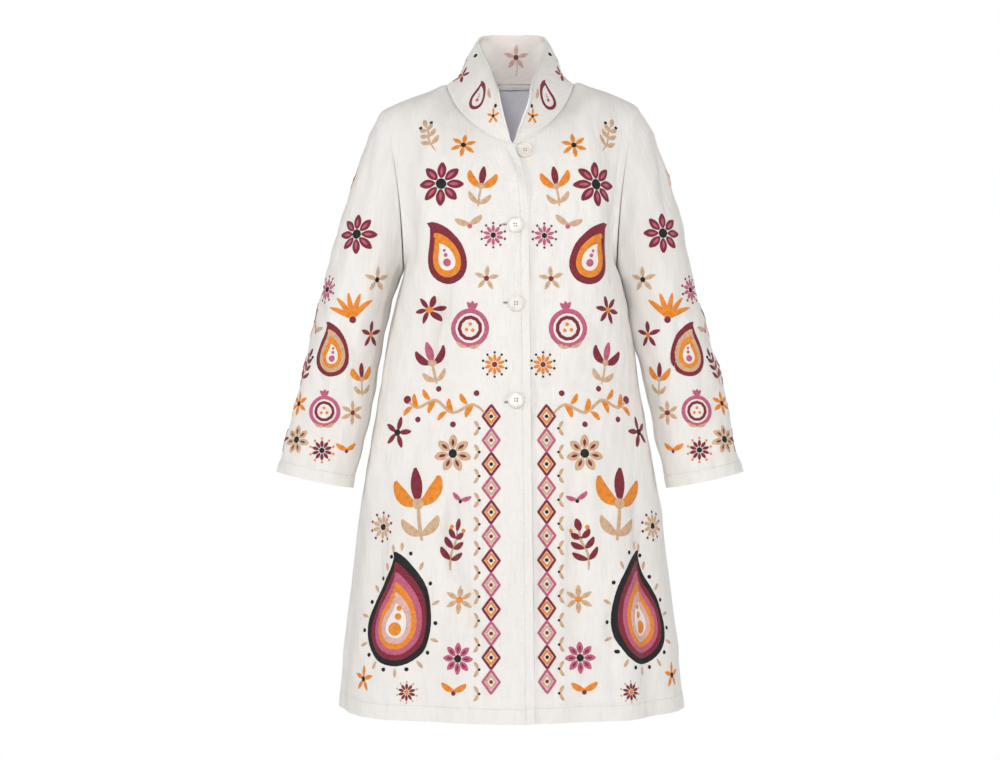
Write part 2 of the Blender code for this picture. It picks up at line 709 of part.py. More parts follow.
def make_loop(collection, face, away):
    """The hanger loop: its ends lie on the lining just under the neck seam, its middle bows off."""
    across = np.linspace(-1, 1, LOOP_STEPS + 1)
    columns = np.interp(LOOP_MIDDLE + LOOP_HALF_LENGTH * across, face[-1, :, 0], np.arange(face.shape[1]))

    def along(row):
        low = np.floor(columns).astype(int)
        share = (columns - low)[:, None]
        return row[low] * (1 - share) + row[low + 1] * share

    top, below, direction = along(face[-1]), along(face[-2]), along(away[-1])
    down = unit(below - top)
    off = LOOP_OFF_LINING + LOOP_BOW * (1 - across**2)
    upper = top + down * LOOP_BELOW_LINING_TOP - direction * off[:, None]
    strip = np.stack([upper + down * LOOP_WIDTH, upper])
    directions = np.stack([direction, direction])
    mesh = cloth_mesh("hanger_loop", strip, directions, LOOP_THICKNESS)
    add_object(collection, "hanger_loop", mesh, COLOURS["lining"])


def button_seat(cloth, x, height):
    """Where a button sits: square to the cloth under it, and clear of it all round."""
    tree = BVHTree.FromPolygons([v.co for v in cloth.vertices], [p.vertices for p in cloth.polygons])
    ahead = Vector((0, 1, 0))

    def under(right, up):
        return tree.ray_cast(Vector((x + right, -ABOVE_CLOTH, height + up)), ahead)[0]

    radius = BUTTON_RADIUS
    across = (under(radius, 0) - under(-radius, 0)).normalized()
    away = across.cross(under(0, radius) - under(0, -radius)).normalized()
    up = away.cross(across)
    middle = under(0, 0)
    clear = 0.0
    for turn in np.arange(BUTTON_SIDES) * 2 * math.pi / BUTTON_SIDES:
        for reach in (radius / 2, radius):
            spot = middle + (across * math.cos(turn) + up * math.sin(turn)) * reach
            hit = tree.ray_cast(spot + away * radius, -away)[0]
            clear = max(clear, (hit - middle).dot(away))
    seat = Matrix((across, up, away)).transposed().to_4x4()
    seat.translation = middle + away * (clear + SEAM_GAP)
    return seat


def make_button(collection, cutters, name, seat):
    """A four-hole button turned from a profile with a raised rim, its holes cut through."""
    radius, top, soft = BUTTON_RADIUS, BUTTON_THICKNESS, BUTTON_ROUNDING
    dish = top - BUTTON_DISH
    profile = (
        (0.0, dish),
        (radius - BUTTON_RIM - soft, dish),
        (radius - BUTTON_RIM, top - soft / 3),
        (radius - 2 * soft, top),
        (radius - soft, top - soft / 4),
        (radius, top - soft),
        (radius, soft),
        (radius - soft, 0.0),
        (0.0, 0.0),
    )
    mesh = bpy.data.meshes.new(name)
    edges = [(step, step + 1) for step in range(len(profile) - 1)]
    mesh.from_pydata([(out, 0.0, up) for out, up in profile], edges, [])
    item = add_object(collection, name, mesh, COLOURS["button"], BUTTON_ROUGHNESS)
    turn = item.modifiers.new("turn", "SCREW")
    turn.steps = BUTTON_SIDES
    turn.render_steps = BUTTON_SIDES
    turn.use_merge_vertices = True
    turn.merge_threshold = MERGE
    turn.use_smooth_shade = True
    item.matrix_world = seat
    pins = bmesh.new()
    for right in (-1, 1):
        for up in (-1, 1):
            spread = BUTTON_HOLE_FROM_MIDDLE / math.sqrt(2)
            place = Matrix.Translation((right * spread, up * spread, top / 2))
            bmesh.ops.create_cone(
                pins,
                cap_ends=True,
                segments=HOLE_SIDES,
                radius1=BUTTON_HOLE_RADIUS,
                radius2=BUTTON_HOLE_RADIUS,
                depth=2 * top,
                matrix=place,
            )
    cutter_mesh = bpy.data.meshes.new(name + "_pins")
    pins.to_mesh(cutter_mesh)
    pins.free()
    cutter = bpy.data.objects.new(name + "_pins", cutter_mesh)
    cutters.objects.link(cutter)
    cutter.matrix_world = seat
    cutter.hide_render = True
    cutter.display_type = "WIRE"
    holes = item.modifiers.new("holes", "BOOLEAN")
    holes.operation = "DIFFERENCE"
    holes.solver = "EXACT"
    holes.object = cutter


def main():
    clear_scene()
    collection = bpy.data.collections.new(COLLECTION)
    cutters = bpy.data.collections.new(CUTTERS)
    bpy.context.scene.collection.children.link(collection)
    bpy.context.scene.collection.children.link(cutters)
    points, out = make_cloth(collection)
    make_loop(collection, *make_lining(collection, points, out))
    for number, (x, height, on) in enumerate(BUTTONS, start=1):
        seat = button_seat(collection.objects[on].data, x, height)
        make_button(collection, cutters, f"button_{number}", seat)


main()
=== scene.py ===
# %% [markdown]
# # An embroidered coat with nobody in it
# This file dresses a finished CAD model. The model holds the coat's cut: six cloth pieces, a strip
# of lining, a hanger loop and four buttons. Here each cloth piece gets a finer skin with creases, a
# stitched hem and a woven surface, and then the embroidery is laid on it. We load the model first.

# %% Load the frame
import json
import math

import bmesh
import bpy
import numpy as np
from mathutils import Matrix, Vector
from mathutils.bvhtree import BVHTree

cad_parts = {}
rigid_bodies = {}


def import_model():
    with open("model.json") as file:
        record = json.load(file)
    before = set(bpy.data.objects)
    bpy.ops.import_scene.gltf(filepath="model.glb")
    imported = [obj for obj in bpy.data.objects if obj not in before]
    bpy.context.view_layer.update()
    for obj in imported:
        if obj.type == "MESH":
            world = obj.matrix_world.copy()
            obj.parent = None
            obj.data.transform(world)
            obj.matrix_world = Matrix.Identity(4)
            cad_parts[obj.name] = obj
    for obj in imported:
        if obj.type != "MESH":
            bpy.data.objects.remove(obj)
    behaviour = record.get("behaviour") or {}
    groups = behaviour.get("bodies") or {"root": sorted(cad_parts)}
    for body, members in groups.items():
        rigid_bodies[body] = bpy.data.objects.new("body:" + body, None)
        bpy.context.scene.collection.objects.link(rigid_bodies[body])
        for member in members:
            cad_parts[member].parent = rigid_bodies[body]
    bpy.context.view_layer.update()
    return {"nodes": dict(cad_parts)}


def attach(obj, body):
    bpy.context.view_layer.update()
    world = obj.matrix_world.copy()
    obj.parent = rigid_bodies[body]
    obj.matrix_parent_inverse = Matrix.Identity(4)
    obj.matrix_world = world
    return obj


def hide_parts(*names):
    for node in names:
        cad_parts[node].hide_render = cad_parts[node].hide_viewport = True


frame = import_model()
print("nodes:", sorted(frame["nodes"]))

# %% [markdown]
# ## Camera, floor and light
# The photograph looks level at the coat's middle, and a camera three metres in front of it gives the
# same view. A white surround gives an even light, and two soft lamps at the sides rake across the
# cloth, so that folds and stitches still show. Three more light the front, the neck and the back.
# The surround is seen as pure white but lights the coat less than that. The floor lies well under
# the hem, where a standing wearer's feet would be.

# %% Set up the studio
CAMERA_PLACE = (-0.0155, -3.0, -0.45105)
SENSOR = 36.0
FRAME_WIDTH_AT_COAT = 1.55
FLOOR_HEIGHT = -1.42
FLOOR_SIZE = 3.6
# name, place, aim, size, watts
LAMPS = (
    ("left_lamp", (-2.3, -1.3, 0.1), (0.0, 0.0, -0.50), 0.8, 18.0),
    ("right_lamp", (2.4, -1.6, -0.1), (0.0, 0.0, -0.55), 1.0, 19.0),
    ("front_lamp", (-0.4, -3.4, 0.5), (0.0, 0.0, -0.45), 1.0, 43.0),
    ("neck_lamp", (0.0, -1.7, 0.30), (0.0, 0.05, -0.02), 0.25, 3.0),
    ("back_lamp", (0.9, 2.8, 0.7), (0.0, 0.0, -0.45), 1.8, 58.0),
)
SEEN_SURROUND = 1.0
FILL_LIGHT = 0.34


def linked(name, data):
    item = bpy.data.objects.new(name, data)
    bpy.context.scene.collection.objects.link(item)
    return item


def aim(item, target):
    item.rotation_euler = (Vector(target) - item.location).to_track_quat("-Z", "Y").to_euler()


camera = linked("camera", bpy.data.cameras.new("camera"))
camera.data.sensor_width = SENSOR
camera.data.lens = SENSOR * -CAMERA_PLACE[1] / FRAME_WIDTH_AT_COAT
camera.location = CAMERA_PLACE
camera.rotation_euler = (math.radians(90), 0, 0)
bpy.context.scene.camera = camera

for name, place, target, size, watts in LAMPS:
    lamp = bpy.data.lights.new(name, "AREA")
    lamp.size = size
    lamp.energy = watts
    holder = linked(name, lamp)
    holder.location = place
    aim(holder, target)

world = bpy.data.worlds.new("surround")
world.use_nodes = True
world.node_tree.nodes["Background"].inputs["Color"].default_value = (1, 1, 1, 1)
bpy.context.scene.world = world

sky = world.node_tree
ray = sky.nodes.new("ShaderNodeLightPath")
level = sky.nodes.new("ShaderNodeMapRange")
level.inputs["To Min"].default_value = FILL_LIGHT
level.inputs["To Max"].default_value = SEEN_SURROUND
sky.links.new(ray.outputs["Is Camera Ray"], level.inputs["Value"])
sky.links.new(level.outputs["Result"], sky.nodes["Background"].inputs["Strength"])
bpy.context.scene.view_settings.view_transform = "Standard"

floor_mesh = bpy.data.meshes.new("floor")
reach = FLOOR_SIZE / 2
corners = [(-reach, -reach), (reach, -reach), (reach, reach), (-reach, reach)]
floor_mesh.from_pydata([(x, y, FLOOR_HEIGHT) for x, y in corners], [], [(0, 1, 2, 3)])
floor = linked("floor", floor_mesh)
floor_finish = bpy.data.materials.new("pale_floor")
floor_finish.use_nodes = True
floor_shader = floor_finish.node_tree.nodes["Principled BSDF"]
floor_shader.inputs["Base Color"].default_value = (0.93, 0.93, 0.93, 1)
floor_shader.inputs["Roughness"].default_value = 0.9
floor_mesh.materials.append(floor_finish)
print("lens", round(camera.data.lens, 2), "mm, lamps", len(LAMPS))

# %% [markdown]
# ## A shader socket that does sums
# Fabric is built from many small sums: this streak plus that one, less a little where the yarn is
# thin. Written as Math nodes by hand, that gets long. So one class wraps a socket, and its
# operators add the nodes. Numbers alone are still worked out in Python. Every other kind of node
# comes from one method, which sets the node's own settings before it feeds its sockets.


# %% Wrap a socket
OBJECT_PLACE = 3  # which output of the coordinates node is the point in the object


class Yarn:
    """A shader socket. Using it in a sum adds Math nodes to its material."""

    def __init__(self, tree, socket):
        self.tree = tree
        self.socket = socket

    def feed(self, target, value):
        if isinstance(value, Yarn):
            self.tree.links.new(value.socket, target)
        else:
            target.default_value = value

    def node(self, kind, settings, inputs, output=0):
        made = self.tree.nodes.new(kind)
        for name, value in settings.items():
            setattr(made, name, value)
        for key, value in inputs.items():
            self.feed(made.inputs[key], value)
        return Yarn(self.tree, made.outputs[output])

    def sum(self, operation, *values):
        return self.node("ShaderNodeMath", {"operation": operation}, dict(enumerate(values)))

    def __add__(self, other):
        return self.sum("ADD", self, other)

    __radd__ = __add__

    def __sub__(self, other):
        return self.sum("SUBTRACT", self, other)

    def __rsub__(self, other):
        return self.sum("SUBTRACT", other, self)

    def __mul__(self, other):
        return self.sum("MULTIPLY", self, other)

    def wave(self, length):
        """A sine of this length in metres, from 0 to 1."""
        return self.sum("SINE", self * (2 * math.pi / length)) * 0.5 + 0.5

    def between(self, low, high):
        """0 below the low value, 1 above the high one, and smooth between them."""
        inputs = {"Value": self, "From Min": low, "From Max": high}
        return self.node("ShaderNodeMapRange", {"interpolation_type": "SMOOTHSTEP"}, inputs)

    def scaled(self, across, along, through=1.0):
        """This place on the cloth, stretched so that a texture has these sizes on it."""
        size = (1 / across, 1 / along, 1 / through)
        return self.node("ShaderNodeVectorMath", {"operation": "MULTIPLY"}, {0: self, 1: size})

    def speckle(self, detail=2.0):
        """Noise read at this place."""
        inputs = {"Vector": self, "Scale": 1.0, "Detail": detail}
        return self.node("ShaderNodeTexNoise", {"noise_dimensions": "3D"}, inputs)

    def parts(self):
        """The first two numbers of a place, each as a value of its own."""
        split = self.node("ShaderNodeSeparateXYZ", {}, {0: self})
        return split, Yarn(self.tree, split.socket.node.outputs[1])

    def blend(self, dark, light):
        """One colour where this value is 0 and the other where it is 1."""
        inputs = {0: self, 6: dark, 7: light}
        return self.node("ShaderNodeMix", {"data_type": "RGBA"}, inputs, output=2)


def start_material(name, constants, uv_name=None):
    """A Principled material with its fixed values set, its shader, and the place on the cloth.

    With no map named, the place is the point in the object itself, in metres.
    """
    made = bpy.data.materials.new(name)
    made.use_nodes = True
    tree = made.node_tree
    shader = tree.nodes["Principled BSDF"]
    for socket, value in constants.items():
        shader.inputs[socket].default_value = value
    if uv_name:
        place = Yarn(tree, None).node("ShaderNodeUVMap", {"uv_map": uv_name}, {})
    else:
        place = Yarn(tree, None).node("ShaderNodeTexCoord", {}, {}, output=OBJECT_PLACE)
    return made, shader, place


def bumped(place, shader, height, strength, distance):
    settings = {"Height": height, "Strength": strength, "Distance": distance}
    bump = place.node("ShaderNodeBump", {}, settings)
    place.feed(shader.inputs["Normal"], bump)


print("socket helper ready")

# %% [markdown]
# ## The coat's cloth: slubby linen and cotton
# The cloth is an off-white plain weave with thick and thin yarns. Up close there is a grid of
# threads 0.7 mm apart, and from further away only the slubs show: streaks along the
# warp and the weft, a few centimetres long. Each streak is noise stretched one way. The colour
# stays nearly even, a little warmer in the slubs, and the weave goes into the bump.

# %% Linen
LINEN_LIGHT = (0.875, 0.845, 0.810, 1)
LINEN_DARK = (0.740, 0.690, 0.635, 1)
COLLAR_INSIDE_LIGHT = (0.90, 0.85, 0.80, 1)
COLLAR_INSIDE_DARK = (0.74, 0.67, 0.61, 1)
THREAD_PITCH = 0.0007
SLUB_WIDTH = 0.0016
SLUB_LENGTH = 0.034


def linen_material(name, light, dark):
    fixed = {"Metallic": 0.0, "Sheen Weight": 0.12, "Sheen Roughness": 0.6, "Specular IOR Level": 0.25}
    made, shader, place = start_material(name, fixed, "cloth")
    warp = place.scaled(SLUB_WIDTH, SLUB_LENGTH).speckle(3.0).between(0.50, 0.78)
    weft = place.scaled(SLUB_LENGTH * 0.8, SLUB_WIDTH * 0.9).speckle(3.0).between(0.50, 0.80)
    cloud = place.scaled(0.11, 0.16).speckle().between(0.25, 0.80)
    grain = place.scaled(0.0011, 0.0013).speckle(1.0)
    shade = warp * 0.26 + weft * 0.20 + cloud * 0.16 + grain * 0.14
    place.feed(shader.inputs["Base Color"], shade.blend(light, dark))
    place.feed(shader.inputs["Roughness"], 0.93 - warp * 0.10)
    across, up = place.parts()
    over = across.wave(THREAD_PITCH) * up.wave(THREAD_PITCH)
    crumple = place.scaled(0.016, 0.030).speckle(3.0)
    crinkle = place.scaled(0.013, 0.085).speckle(2.0)
    height = over * 0.20 + warp * 0.60 + weft * 0.45 + grain * 0.30 + crumple * 3.0 + crinkle * 3.6
    bumped(place, shader, height, 0.60, 0.0010)
    return made


linen = linen_material("slub_linen", LINEN_LIGHT, LINEN_DARK)
linen_inside = linen_material("slub_linen_collar", COLLAR_INSIDE_LIGHT, COLLAR_INSIDE_DARK)
print("linen nodes:", len(linen.node_tree.nodes))

# %% [markdown]
# ## Lining, thread and buttons
# The lining is a smooth lavender-grey twill: fine diagonal ribs and a soft gloss. Embroidery thread
# is the opposite of the linen. It lies side by side in satin stitch, so its surface is a row of fine
# ridges that run across each shape. The map called stitch says how far along a shape and how far
# across it a point is, so the ridges turn with the shape. The buttons are a cloudy cream.

# %% Lining, thread, button
RIB = 0.0011
STRAND = 0.00055
# The lining's two tones are set paler than its own lavender-grey: painted light, to make up for the shade
# inside the neck where it shows.
LINING_LIGHT = (0.88, 0.86, 0.93, 1)
LINING_DARK = (0.70, 0.675, 0.76, 1)
BUTTON_LIGHT = (0.82, 0.78, 0.73, 1)
BUTTON_DARK = (0.68, 0.63, 0.56, 1)


def lining_material():
    fixed = {"Metallic": 0.0, "Sheen Weight": 0.25, "Sheen Roughness": 0.35}
    made, shader, place = start_material("lavender_lining", fixed, "cloth")
    across, up = place.parts()
    ribs = (across + up).wave(RIB)
    cloud = place.scaled(0.05, 0.09).speckle(3.0).between(0.3, 0.75)
    # Both tones here carry painted light for the shaded neck, on top of the lining's own lavender-grey.
    colour = (cloud * 0.5 + ribs * 0.2).blend(LINING_LIGHT, LINING_DARK)
    place.feed(shader.inputs["Base Color"], colour)
    place.feed(shader.inputs["Roughness"], 0.42 + cloud * 0.14)
    bumped(place, shader, ribs * 0.4 + cloud * 2.0, 0.35, 0.0008)
    return made


def thread_material(name, colour, shade=0.62):
    sheen = 0.12 if max(colour) > 0.1 else 0.0
    fixed = {"Metallic": 0.0, "Sheen Weight": sheen, "Sheen Roughness": 0.4, "Specular IOR Level": 0.22}
    made, shader, place = start_material(name, fixed, "stitch")
    strands = place.parts()[0].wave(STRAND)
    uneven = place.scaled(0.0009, 0.012).speckle(2.0).between(0.25, 0.75)
    worn = place.scaled(0.006, 0.008).speckle(2.0).between(0.35, 0.80)
    light = (*[min(1.0, c * 1.12 + 0.015) for c in colour], 1)
    dark = (*[c * shade for c in colour], 1)
    place.feed(shader.inputs["Base Color"], (uneven * 0.45 + worn * 0.40).blend(light, dark))
    place.feed(shader.inputs["Roughness"], 0.48 + uneven * 0.22)
    bumped(place, shader, strands * 0.5 + uneven * 0.8, 0.6, 0.0005)
    return made


def button_material():
    fixed = {"Metallic": 0.0, "Coat Weight": 0.25, "Coat Roughness": 0.2}
    made, shader, place = start_material("cream_button", fixed)
    cloud = place.scaled(0.007, 0.005, 0.012).speckle(3.0).between(0.3, 0.75)
    scratch = place.scaled(0.0008, 0.004, 0.008).speckle(2.0)
    place.feed(shader.inputs["Base Color"], cloud.blend(BUTTON_LIGHT, BUTTON_DARK))
    place.feed(shader.inputs["Roughness"], 0.26 + scratch * 0.20)
    bumped(place, shader, scratch, 0.12, 0.0003)
    return made


lining = lining_material()
button_cream = button_material()
THREADS = {
    "oxblood": (0.230, 0.018, 0.036),
    "wine": (0.085, 0.016, 0.024),
    "rose": (0.560, 0.120, 0.220),
    "blush": (0.780, 0.470, 0.420),
    "orange": (0.860, 0.270, 0.022),
    "tan": (0.680, 0.440, 0.270),
    "black": (0.010, 0.009, 0.010),
    # Ecru is set darker than the linen: partly the thread's own tone, partly painted shade along stitch
    # lines.
    "ecru": (0.640, 0.590, 0.520),
    "umber": (0.120, 0.080, 0.060),
}
threads = {name: thread_material(name + "_thread", colour) for name, colour in THREADS.items()}
thread_order = list(THREADS)
print("threads:", ", ".join(thread_order))

# %% [markdown]
# ## The coat's cut, as formulas
# The coat is a body of rings, from the hem up to the underarm. Above that, each upright line of the
# cloth runs on to the shoulder or the neckline, and gives way to the armhole at the side. The same
# formulas drew the CAD pieces. Here they are read on a much finer grid, so the skins fit the model
# everywhere and still have room for creases. First come the driving sizes.

# %% Driving sizes
HEM_HEIGHT = -0.9535
UNDERARM_HEIGHT = -0.282
SHOULDER_HALF = 0.196
# The wearer's left shoulder, at +X, stands a little higher
SHOULDER_DROP = {-1: 0.0325, 1: 0.0265}
SHOULDER_ROUNDING = {-1: 1.5, 1: 1.9}
SHOULDER_CROWN = {-1: 0.001, 1: 0.005}
NECK_HALF = 0.096
NECK_FRONT_DROP = 0.0915
NECK_FRONT_DEPTH = 0.087
NECK_BACK_RISE = 0.017
NECK_BACK_DEPTH = 0.058
ARMHOLE_HALF_WIDTH_FRONT = 0.064
ARMHOLE_HALF_WIDTH_BACK = 0.070
# How fast each seam's curve turns: powers of the sine and cosine along it
ARMHOLE_IN = 2.2
ARMHOLE_ROUND = 0.9
SHOULDER_SWELL = 0.5
FRONT_NECK_OUT = 4 / 3
FRONT_NECK_IN = 1.2
BACK_NECK_ROUND = 0.9

# Cloth
BODY_WALL = 0.0025
COLLAR_WALL = 0.0030
LINING_WALL = 0.0010
OVERLAP_LIFT = 0.0042

# How finely the panels are divided. Neighbours share their divisions along every seam.
LOWER_ROWS = 18
UPPER_ROWS = 10
FRONT_NECK_STEPS = 9
BACK_NECK_STEPS = 14
SHOULDER_STEPS = 6
SLEEVE_CAP_ROWS = 7
SLEEVE_ARM_ROWS = 15
FRONT_STEPS = FRONT_NECK_STEPS + SHOULDER_STEPS
BACK_STEPS = BACK_NECK_STEPS + 2 * SHOULDER_STEPS
ALL_ROWS = LOWER_ROWS + UPPER_ROWS
SHARP_ANGLE = math.radians(50)
print("rows of the body:", ALL_ROWS, "and of a sleeve:", SLEEVE_CAP_ROWS + SLEEVE_ARM_ROWS)

# %% [markdown]
# The body is drawn by rings from the hem up, and soft folds hang in it from the waist. The two
# fronts differ: one laps over the other, and its top corner is pulled harder.

# %% Rings, folds and fronts
# Rings round the body below the underarm, from the hem up
# height, half width, depth in front, depth behind, squareness
BODY_RINGS = (
    (-0.9535, 0.2665, 0.176, 0.166, 0.010),
    (-0.850, 0.2570, 0.167, 0.158, 0.015),
    (-0.740, 0.2440, 0.156, 0.147, 0.020),
    (-0.650, 0.2325, 0.146, 0.136, 0.030),
    (-0.580, 0.2205, 0.137, 0.126, 0.035),
    (-0.470, 0.2010, 0.125, 0.112, 0.045),
    (-0.380, 0.1885, 0.120, 0.105, 0.050),
    (-0.320, 0.1745, 0.121, 0.106, 0.060),
    (-0.282, 0.1640, 0.123, 0.108, 0.065),
    (-0.200, 0.1600, 0.124, 0.112, 0.065),
)

# Soft folds that hang from the waist to the hem
# degrees from the centre front, height where it starts, degrees it drifts, depth at the hem,
# width in degrees
FOLDS = (
    (-74, -0.42, -3, -0.0070, 9),
    (-52, -0.50, 4, 0.0060, 10),
    (-27, -0.40, 3, -0.0060, 8),
    (24, -0.46, -2, -0.0055, 8),
    (38, -0.36, 3, 0.0060, 9),
    (56, -0.44, -3, -0.0075, 9),
    (80, -0.50, 2, 0.0020, 10),
    (112, -0.34, 4, -0.0070, 10),
    (136, -0.42, -2, 0.0070, 10),
    (163, -0.30, 3, -0.0065, 9),
    (186, -0.38, -3, 0.0070, 10),
    (211, -0.34, 2, -0.0070, 10),
    (238, -0.44, 4, 0.0065, 10),
    (262, -0.50, -2, -0.0055, 9),
)

# Each front: the wearer's side it is on, how far its free edge passes the middle at the chest
# and at the hem, where its neckline ends, the pull of its top corner, and its lift off the base
FRONTS = {
    "front_right": {
        "side": -1,
        "chest_edge": 0.0282,
        "hem_edge": 0.0351,
        "neck_end": -0.001,
        "pull": 0.50,
        "lift": OVERLAP_LIFT,
    },
    "front_left": {
        "side": 1,
        "chest_edge": 0.013,
        "hem_edge": 0.010,
        "neck_end": 0.005,
        "pull": 0.33,
        "lift": 0.0,
    },
}
# The pull with which the cloth arrives at the shoulder seam, as shares of the line's length
FRONT_ARRIVE = (0.0, 0.62, 0.25)
BACK_ARRIVE = (0.0, -0.62, 0.25)
# The same at the fronts' free edges and at the centre back: how far it leans in, and how it climbs
FREE_EDGE_LEAN = 0.30
FREE_EDGE_CLIMB = 0.85
CENTRE_BACK_LEAN = 0.15
CENTRE_BACK_CLIMB = 0.80
NECK_FULLNESS = 0.24
SLEEVE_SIDE_FALLOFF = 1.6
NECK_PINCH = 0.50
LIFT_FULL_TO = 0.022
LIFT_GONE_AT = 0.120
print("rings:", len(BODY_RINGS), "folds:", len(FOLDS), "fronts:", len(FRONTS))

# %% [markdown]
# The arms hang a little away from the body and forward. The collar leans outward at its open front
# ends, and its top edge is a table of points from the centre back to a front corner.

# %% Sleeve and collar sizes
# Sleeves: lean from upright in degrees, and the sections down the arm
SLEEVE_LEAN = {"sleeve_right": 11.9, "sleeve_left": 12.2}
SLEEVE_TOP_INNER = (0.1800, -0.330)
SLEEVE_LENGTH_BELOW_TOP = 0.292
SLEEVE_FORWARD = 0.034
SLEEVE_BEND = 1.6
# The sleeve cap leaves its seam outward, more so at the shoulder, and swells to front and back
CAP_SPREAD = 0.05
CAP_SPREAD_AT_TOP = 0.50
CAP_SWELL = 0.25
CAP_PULL = 0.70
CAP_PULL_LESS_AT_TOP = 0.05
# share of the way to the cuff, half width seen from the front, half depth
ARM_RINGS = (
    (0.00, 0.0550, 0.0670),
    (0.30, 0.0575, 0.0610),
    (0.55, 0.0590, 0.0560),
    (0.80, 0.0592, 0.0500),
    (1.00, 0.0592, 0.0455),
)

# The collar's top edge from the centre back to a front corner
# share of the half collar, out from the middle, depth, height
COLLAR_TOP = (
    (0.00, 0.0000, 0.0470, 0.0912),
    (0.18, 0.0400, 0.0450, 0.0905),
    (0.32, 0.0535, 0.0300, 0.0815),
    (0.46, 0.0470, 0.0050, 0.0585),
    (0.64, 0.0385, -0.0240, 0.0360),
    (0.82, 0.0310, -0.0530, 0.0100),
    (1.00, 0.0270, -0.0790, -0.0135),
)
COLLAR_SHIFT_BACK = 0.003
COLLAR_SHIFT_FRONT = 0.007
COLLAR_SHOULDER_SHARE = 0.43
COLLAR_BULGE = 0.021
COLLAR_BULGE_FULL_FROM = 0.22
COLLAR_BULGE_FORWARD = 1.4
# How far along the way up the collar's curve is drawn, by its two middle control points
COLLAR_LOW_PULL = (0.40, 0.40, 0.22)
COLLAR_HIGH_PULL = (0.10, 0.10, 0.38)
print("shoulder to hem", -HEM_HEIGHT, "m, shoulder width", 2 * SHOULDER_HALF, "m")

# %% [markdown]
# ## Rings, seams and edges
# These are the lines that the panels run between: a ring round the body, the armhole, the shoulder
# seam and the neckline. Every one takes whole arrays at once, so a panel is a single call.


# %% Rings, seams and edges
def ease(share):
    share = np.clip(share, 0.0, 1.0)
    return share * share * (3.0 - 2.0 * share)


def hermite(t, start, leave, end, arrive):
    """The cubic between two ends with given pulls."""
    t2, t3 = t * t, t * t * t
    return (
        (2 * t3 - 3 * t2 + 1) * start
        + (t3 - 2 * t2 + t) * leave
        + (3 * t2 - 2 * t3) * end
        + (t3 - t2) * arrive
    )


def read_table(rows, column, at):
    """A smooth curve through one column of a table whose first column rises."""
    places = np.array([row[0] for row in rows])
    values = np.array([row[column] for row in rows])
    slopes = np.gradient(values, places)
    low = np.clip(np.searchsorted(places, at) - 1, 0, len(rows) - 2)
    step = places[low + 1] - places[low]
    t = np.clip((at - places[low]) / step, 0.0, 1.0)
    return hermite(t, values[low], slopes[low] * step, values[low + 1], slopes[low + 1] * step)


def point(x, y, z):
    return np.stack(np.broadcast_arrays(x, y, z), axis=-1)


def unit(vectors):
    return vectors / np.maximum(np.linalg.norm(vectors, axis=-1, keepdims=True), 1e-12)


def fold_push(turn, height):
    """How far the hanging folds push the cloth out, at a turn round the body and a height."""
    push = np.zeros(np.broadcast(turn, height).shape)
    for middle, top, drift, depth, width in FOLDS:
        down = np.clip((top - height) / (top - HEM_HEIGHT), 0.0, 1.0)
        off = np.degrees(turn) - middle - drift * down
        off = (off + 180.0) % 360.0 - 180.0
        push = push + depth * ease(down) * np.exp(-((off / width) ** 2))
    return push


def body_ring(turn, height):
    """The body below the underarm. Turn 0 is the centre front, a quarter turn the left side."""
    half, front, back, square = (read_table(BODY_RINGS, column, height) for column in (1, 2, 3, 4))
    depth = np.where(np.cos(turn) > 0, front, back)
    push = fold_push(turn, height)
    x = half * (np.sin(turn) + square * np.sin(3 * turn)) / (1 - square)
    y = -depth * (np.cos(turn) - square * np.cos(3 * turn)) / (1 - square)
    return point(x + push * np.sin(turn), y - push * np.cos(turn), height)


def rise(turn):
    """Which way the body's wall runs at the underarm's height."""
    small = 0.002
    up = np.full(np.shape(turn), UNDERARM_HEIGHT)
    return unit(body_ring(turn, up + small) - body_ring(turn, up - small))


def armhole(side, angle):
    """The armhole seam: 0 at the shoulder, down the front to pi at the underarm, and up the back."""
    high, low = -SHOULDER_DROP[side], UNDERARM_HEIGHT
    above = (1 + np.cos(angle)) / 2
    width = np.where(np.sin(angle) >= 0, -ARMHOLE_HALF_WIDTH_FRONT, ARMHOLE_HALF_WIDTH_BACK)
    under = float(body_ring(np.array(math.pi / 2), np.array(low))[0])
    x = under + (SHOULDER_HALF - under) * above**ARMHOLE_IN
    y = width * np.abs(np.sin(angle)) ** ARMHOLE_ROUND
    return point(side * x, y, low + (high - low) * above)


def shoulder_seam(side, share):
    """The shoulder seam from the neck, 0, to the sleeve, 1."""
    x = NECK_HALF + (SHOULDER_HALF - NECK_HALF) * share
    crown = SHOULDER_CROWN[side] * np.sin(math.pi * share**SHOULDER_SWELL)
    return point(side * x, 0.0, crown - SHOULDER_DROP[side] * share ** SHOULDER_ROUNDING[side])


def front_neckline(side, end, share):
    """A front's neckline from its free edge, 0, to the shoulder seam, 1."""
    along, fall = np.sin(share * math.pi / 2), np.cos(share * math.pi / 2)
    x = side * (end + (NECK_HALF - end) * along**FRONT_NECK_OUT)
    fall = np.maximum(fall, 0.0)
    y = -NECK_FRONT_DEPTH * fall**FRONT_NECK_IN
    return point(x, y, -NECK_FRONT_DROP * fall**FRONT_NECK_OUT)


def back_neckline(side, share):
    """The back neckline from the shoulder seam, 0, to the centre back, 1."""
    along, fall = np.sin(share * math.pi / 2), np.cos(share * math.pi / 2)
    x = side * NECK_HALF * fall**BACK_NECK_ROUND
    return point(x, NECK_BACK_DEPTH * along**BACK_NECK_ROUND, NECK_BACK_RISE * along)


underarm = body_ring(np.array(math.pi / 2), np.array(UNDERARM_HEIGHT))
print("underarm ring is", round(float(underarm[0]) * 2, 3), "m wide")

# %% [markdown]
# ## Fronts and back
# A front runs from its free edge to the side seam, and the right one laps over the left. The back
# is one piece. Both are cut as flared panels, so a maker would lay the centre line along the warp.


# %% Fronts and back
def pick(mask, one, other):
    """Points of the first kind where the mask holds, and else of the other."""
    return np.where(mask[..., None], one, other)


